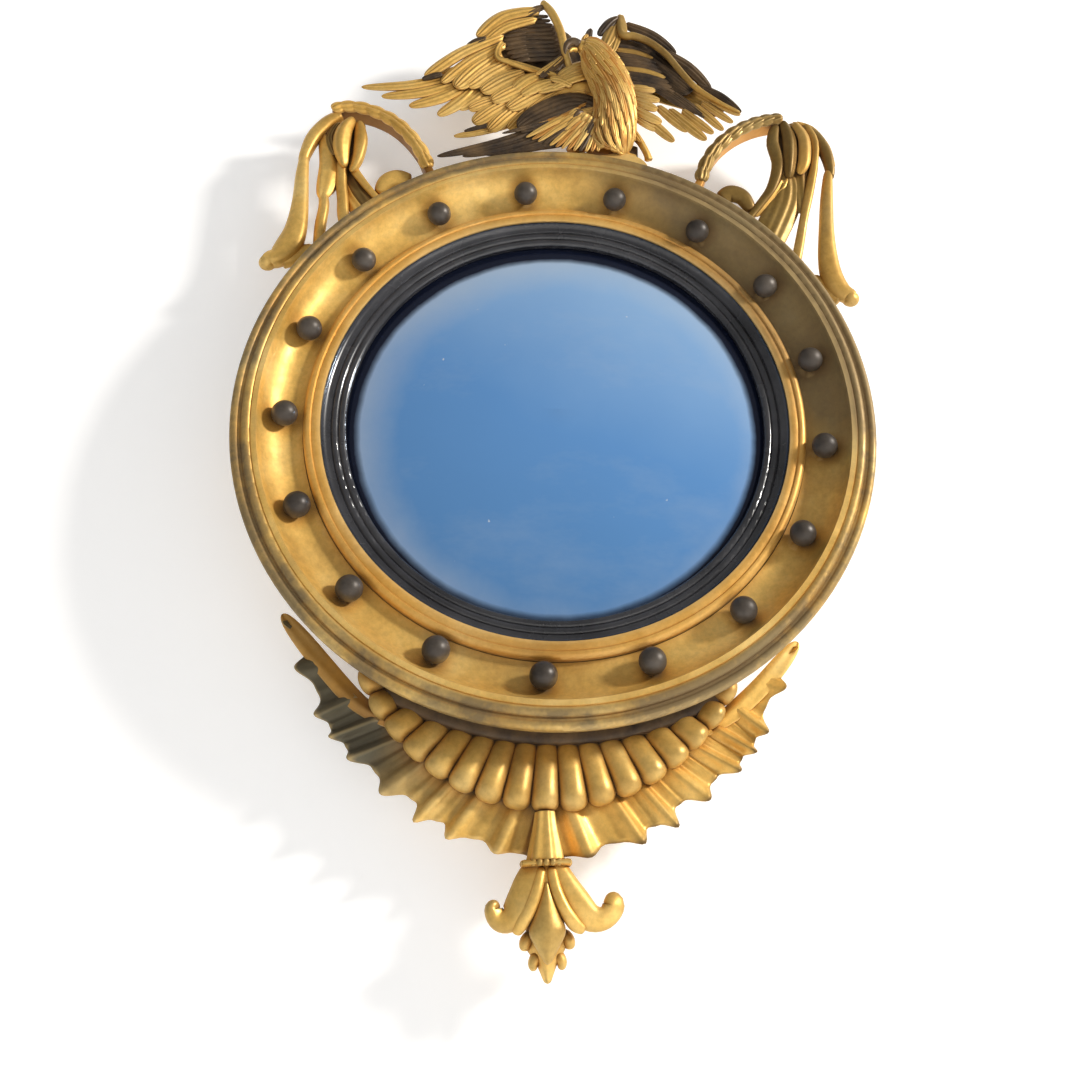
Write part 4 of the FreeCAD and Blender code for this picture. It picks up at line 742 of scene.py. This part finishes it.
# ---------------------------------------------------------------- apron and pendant
def carve_apron():
    """A dark band under the frame's edge, painted shadow in the gap there, and gadroons that fan out from
    centre, each reach long.
    """
    bag = Carving(APRON, DARK_PAINT_AND_SHADE)
    # Painted shadow: a dark band in the gap under the frame.
    shadow_turns = [math.radians(242 + 2 * k) for k in range(30)]
    bag.rod([(SHADOW_GAP_R * math.cos(a), SHADOW_GAP_R * math.sin(a), 21, 13, 9) for a in shadow_turns], square=4, start=0.02,
            end=0.02, stations=60, shade=1)
    centre, reach, count = Vector((0, -200, 0)), 189.0, 17
    for k in range(count):
        turn = math.radians(205 + 130 * k / (count - 1))
        way = Vector((math.cos(turn), math.sin(turn), 0))
        ahead = -centre.dot(way)
        inner = ahead + math.sqrt(max(ahead ** 2 - centre.length_squared + GADROON_R ** 2, 0))
        inner = min(max(inner, 116), 172)
        lean = 0.045 * (k - (count - 1) / 2) / ((count - 1) / 2)
        spine = []
        for share, wide, height, deep in ((0.0, 1.05, 15, 8), (0.2, 1.12, 19, 10), (0.45, 1.08, 22, 12.5),
                                          (0.8, 1.04, 24, 14.5), (1.0, 0.96, 23, 11)):
            place = inner + (reach - inner) * share
            shift = Vector((-way.y, way.x, 0)) * (lean * (place - reach))
            spot = centre + way * place + shift
            spine.append((spot.x, spot.y, height, place / reach * 13.6 * wide, deep))
        bag.rod(spine, start=0.05, end=0.26, stations=30, around=36)
    bag.done("gadroon_apron")


def carve_acanthus(side, material, edge_material, inner, outer, rib):
    bag = Carving(material, edge_material)
    bag.ruffle(inner, outer, 9, 4.4, 20, 6, 12)
    bag.leaf([(x, y, 19 + 1.5 * k) for k, (x, y) in enumerate(rib)], 9, crown=0.25, thick=6, veins=1,
             groove=0.9, tip=0.3, neck=0.5, shade=1)
    bag.done(side + "_acanthus_leaf")


def carve_leaves():
    inner = [(-250, -218), (-212, -258), (-178, -290), (-140, -322), (-104, -345), (-58, -362), (-2, -378)]
    outer = [(-256, -215), (-236, -266), (-212, -310), (-184, -342), (-142, -380), (-94, -410), (-16, -430)]
    carve_acanthus("left", LEFT_LEAF, LEFT_RIB, inner, outer,
                   [(-138, -316), (-174, -297), (-213, -260), (-254, -217)])
    inner = [(238, -228), (206, -262), (176, -290), (140, -322), (106, -345), (60, -362), (-2, -378)]
    outer = [(240, -225), (224, -270), (204, -314), (182, -344), (144, -378), (98, -410), (12, -432)]
    carve_acanthus("right", SCROLL, SCROLL, inner, outer,
                   [(140, -316), (172, -296), (205, -266), (238, -228)])


def leaning(points):
    """The pendant's spine points, turned by its lean about its top."""
    across, down = math.cos(PENDANT_LEAN), math.sin(PENDANT_LEAN)
    found = []
    for x, y, *rest in points:
        y -= PENDANT_TOP
        found.append((x * across - y * down, PENDANT_TOP + x * down + y * across, *rest))
    return found


def carve_pendant():
    bag = Carving(SCROLL)
    bag.rod(leaning([(0, -388, 27, 8.5, 8.5), (0, -402, 27, 10.5, 10.5), (0, -418, 27, 14, 13.5),
                     (0, -429, 27, 16, 15)]),
            flutes=7, groove=0.08, start=0.02, end=0.02, stations=24, around=56)
    bag.rod(leaning([(-22, -431, 27, 3, 14), (-10, -431, 27, 3, 15), (10, -431, 27, 3, 15),
                     (22, -431, 27, 3, 14)]), square=2.6, stations=40)
    for k in range(11):
        turn = math.pi * (k + 0.5) / 11
        x, z = 20 * math.cos(turn), 27 + 14.5 * math.sin(turn)
        bag.rod(leaning([(x, -427.6, z, 2.0, 2.0), (x, -431, z, 3.0, 2.6), (x, -434, z, 2.0, 2.0)]),
                start=0.3, end=0.3, stations=9, around=12)
    bag.done("pendant_stem")

    for side, sign, reach, curl in (("left", -1, 0.82, 7.5), ("right", 1, 1.0, 9.5)):
        bag = Carving(LEFT_LEAF if sign < 0 else SCROLL, SCROLL)
        bag.rod(leaning([(sign * 7, -433, 27, 11, 9), (sign * 14, -447, 28, 13, 10),
                         (sign * 25 * reach, -463, 29, 14, 10), (sign * 38 * reach, -474, 28, 11, 9),
                         (sign * 50 * reach, -474, 28, 9, 8), (sign * 56 * reach, -465, 28, curl, 8),
                         (sign * 49 * reach, -461, 28, curl * 0.6, 6)]),
                flutes=3, groove=0.09, start=0.02, end=0.12, stations=44, around=36)
        bag.rod(leaning([(sign * 4, -434, 33, 5, 4), (sign * 8, -452, 37, 5, 4.5),
                         (sign * 15, -468, 37, 5.5, 4.5), (sign * 23, -479, 34, 6, 4.5),
                         (sign * 31 * reach, -484, 30, 4, 4)]), shade=1)
        bag.done(f"pendant_{side}_leaf")

    bag = Carving(BUD, SCROLL)
    bag.rod(leaning([(0, -433, 29, 7, 6), (0, -446, 31, 7, 6), (0, -460, 31, 8, 6)]), shade=1)
    bag.rod(leaning([(0, -446, 34, 2.5, 4), (0, -458, 35, 7, 6), (0, -474, 35, 12.5, 8.5),
                     (0, -485, 35, 15.5, 9.5), (0, -497, 34, 9.5, 7.5), (0, -509, 32, 2, 3)]),
            square=1.6, start=0.04, stations=34)
    bag.done("pendant_bud")

    bag = Carving(SCROLL)
    bag.rod(leaning([(0, -440, 19, 9, 6), (0, -470, 19, 14, 7), (0, -492, 19, 18, 8), (0, -508, 18, 9, 7),
                     (0, -523, 17, 2.5, 4)]), flutes=5, groove=0.06, stations=34)
    for sign in (-1, 1):
        upper = [(sign * 12, -484, 20, 5, 6), (sign * 18, -491, 21, 5.5, 6.5), (sign * 19, -498, 20, 4, 5)]
        lower = [(sign * 8, -500, 19, 5, 6), (sign * 12, -507, 20, 4.5, 5.5), (sign * 11, -513, 19, 3, 4)]
        for lobe in (upper, lower):
            bag.rod(leaning(lobe), start=0.3, end=0.3, stations=16)
    bag.done("pendant_back_leaf")


carve_body()
carve_tail_and_legs()
carve_left_wing()
carve_right_wing()
carve_left_scroll()
carve_right_scroll()
carve_apron()
carve_leaves()
carve_pendant()


# ---------------------------------------------------------------- stage, light and camera
WALL_Y, FLOOR_Z, SPREAD = 0.03, -1.3, 4  # the wall's and floor's places and how far they go, in metres

backdrop = Shade("backdrop")
backdrop.set(Base_Color=(0.90, 0.90, 0.90), Roughness=0.9, Emission_Color=(1, 1, 1), Emission_Strength=0.24)
# From behind, the backdrop is clear, so that the wall lets the back of the mirror be seen.
see_through = backdrop.node("ShaderNodeMixShader")
backdrop.link(backdrop.node("ShaderNodeNewGeometry").outputs["Backfacing"], see_through.inputs[0])
backdrop.link(backdrop.bsdf.outputs[0], see_through.inputs[1])
backdrop.link(backdrop.node("ShaderNodeBsdfTransparent").outputs[0], see_through.inputs[2])
backdrop.link(see_through.outputs[0], backdrop.out.inputs["Surface"])


def plane(name, corners):
    mesh = bpy.data.meshes.new(name)
    mesh.from_pydata(corners, [], [(0, 1, 2, 3)])
    mesh.materials.append(backdrop.mat)
    item = bpy.data.objects.new(name, mesh)
    scene.collection.objects.link(item)


plane("wall", [(-SPREAD, WALL_Y, FLOOR_Z), (SPREAD, WALL_Y, FLOOR_Z), (SPREAD, WALL_Y, SPREAD),
               (-SPREAD, WALL_Y, SPREAD)])
plane("floor", [(-SPREAD, -5, FLOOR_Z), (SPREAD, -5, FLOOR_Z), (SPREAD, WALL_Y, FLOOR_Z),
                (-SPREAD, WALL_Y, FLOOR_Z)])

world = bpy.data.worlds.new("studio")
scene.world = world
world.use_nodes = True
background = world.node_tree.nodes["Background"]
background.inputs["Color"].default_value = (1, 1, 1, 1)
background.inputs["Strength"].default_value = 0.34


def area_light(name, place, side, watts, colour=(1, 1, 1)):
    """A square lamp that faces the mirror's middle. Only the key shows in reflections."""
    lamp = bpy.data.lights.new(name, "AREA")
    lamp.energy, lamp.size, lamp.color = watts, side, colour
    item = bpy.data.objects.new(name, lamp)
    item.location = place
    item.rotation_euler = (-Vector(place)).to_track_quat("-Z", "Y").to_euler()
    item.visible_glossy = name == "key"
    scene.collection.objects.link(item)


area_light("key", (2.75, -1.60, 1.15), 0.40, 128, (1.0, 0.96, 0.90))
area_light("fill", (-1.9, -2.8, -0.5), 2.0, 10)

# The camera is fitted to the photograph: its turns in radians, where the middle of the ring of ball
# centres lies before it, in that ring's radii, and its reach and middle in the photograph's pixels.
BALL_RING, BALL_DEPTH = 0.275, 0.052  # the ring's radius and its distance from the wall, in metres
TILT, TURN, ROLL = -0.485451416, 0.056842847, -0.0159386232
RING_MIDDLE = Vector((-0.126491135, -0.0229913709, -4.15410884))
PHOTO, REACH, MIDDLE_X, MIDDLE_Y = 1080, 1115.61143, 592.418, 401.614
SENSOR = 36  # millimetres

camera = bpy.data.objects.new("camera", bpy.data.cameras.new("camera"))
scene.collection.objects.link(camera)
scene.camera = camera
turn = Matrix.Rotation(ROLL, 3, "Z") @ Matrix.Rotation(TILT, 3, "X") @ Matrix.Rotation(TURN, 3, "Y")
back = turn.transposed()
facing = Matrix(((1, 0, 0), (0, 0, -1), (0, 1, 0)))  # from the wall's axes to the frame's
place = facing @ (-(back @ RING_MIDDLE) * BALL_RING) + Vector((0, -BALL_DEPTH, 0))
camera.matrix_world = Matrix.Translation(place) @ (facing @ back).to_4x4()
camera.data.sensor_width = SENSOR
camera.data.lens = SENSOR * REACH / PHOTO
camera.data.shift_x = (PHOTO / 2 - MIDDLE_X) / PHOTO
camera.data.shift_y = (MIDDLE_Y - PHOTO / 2) / PHOTO
camera.data.clip_start, camera.data.clip_end = 0.01, 50

scene.view_settings.view_transform = "Standard"
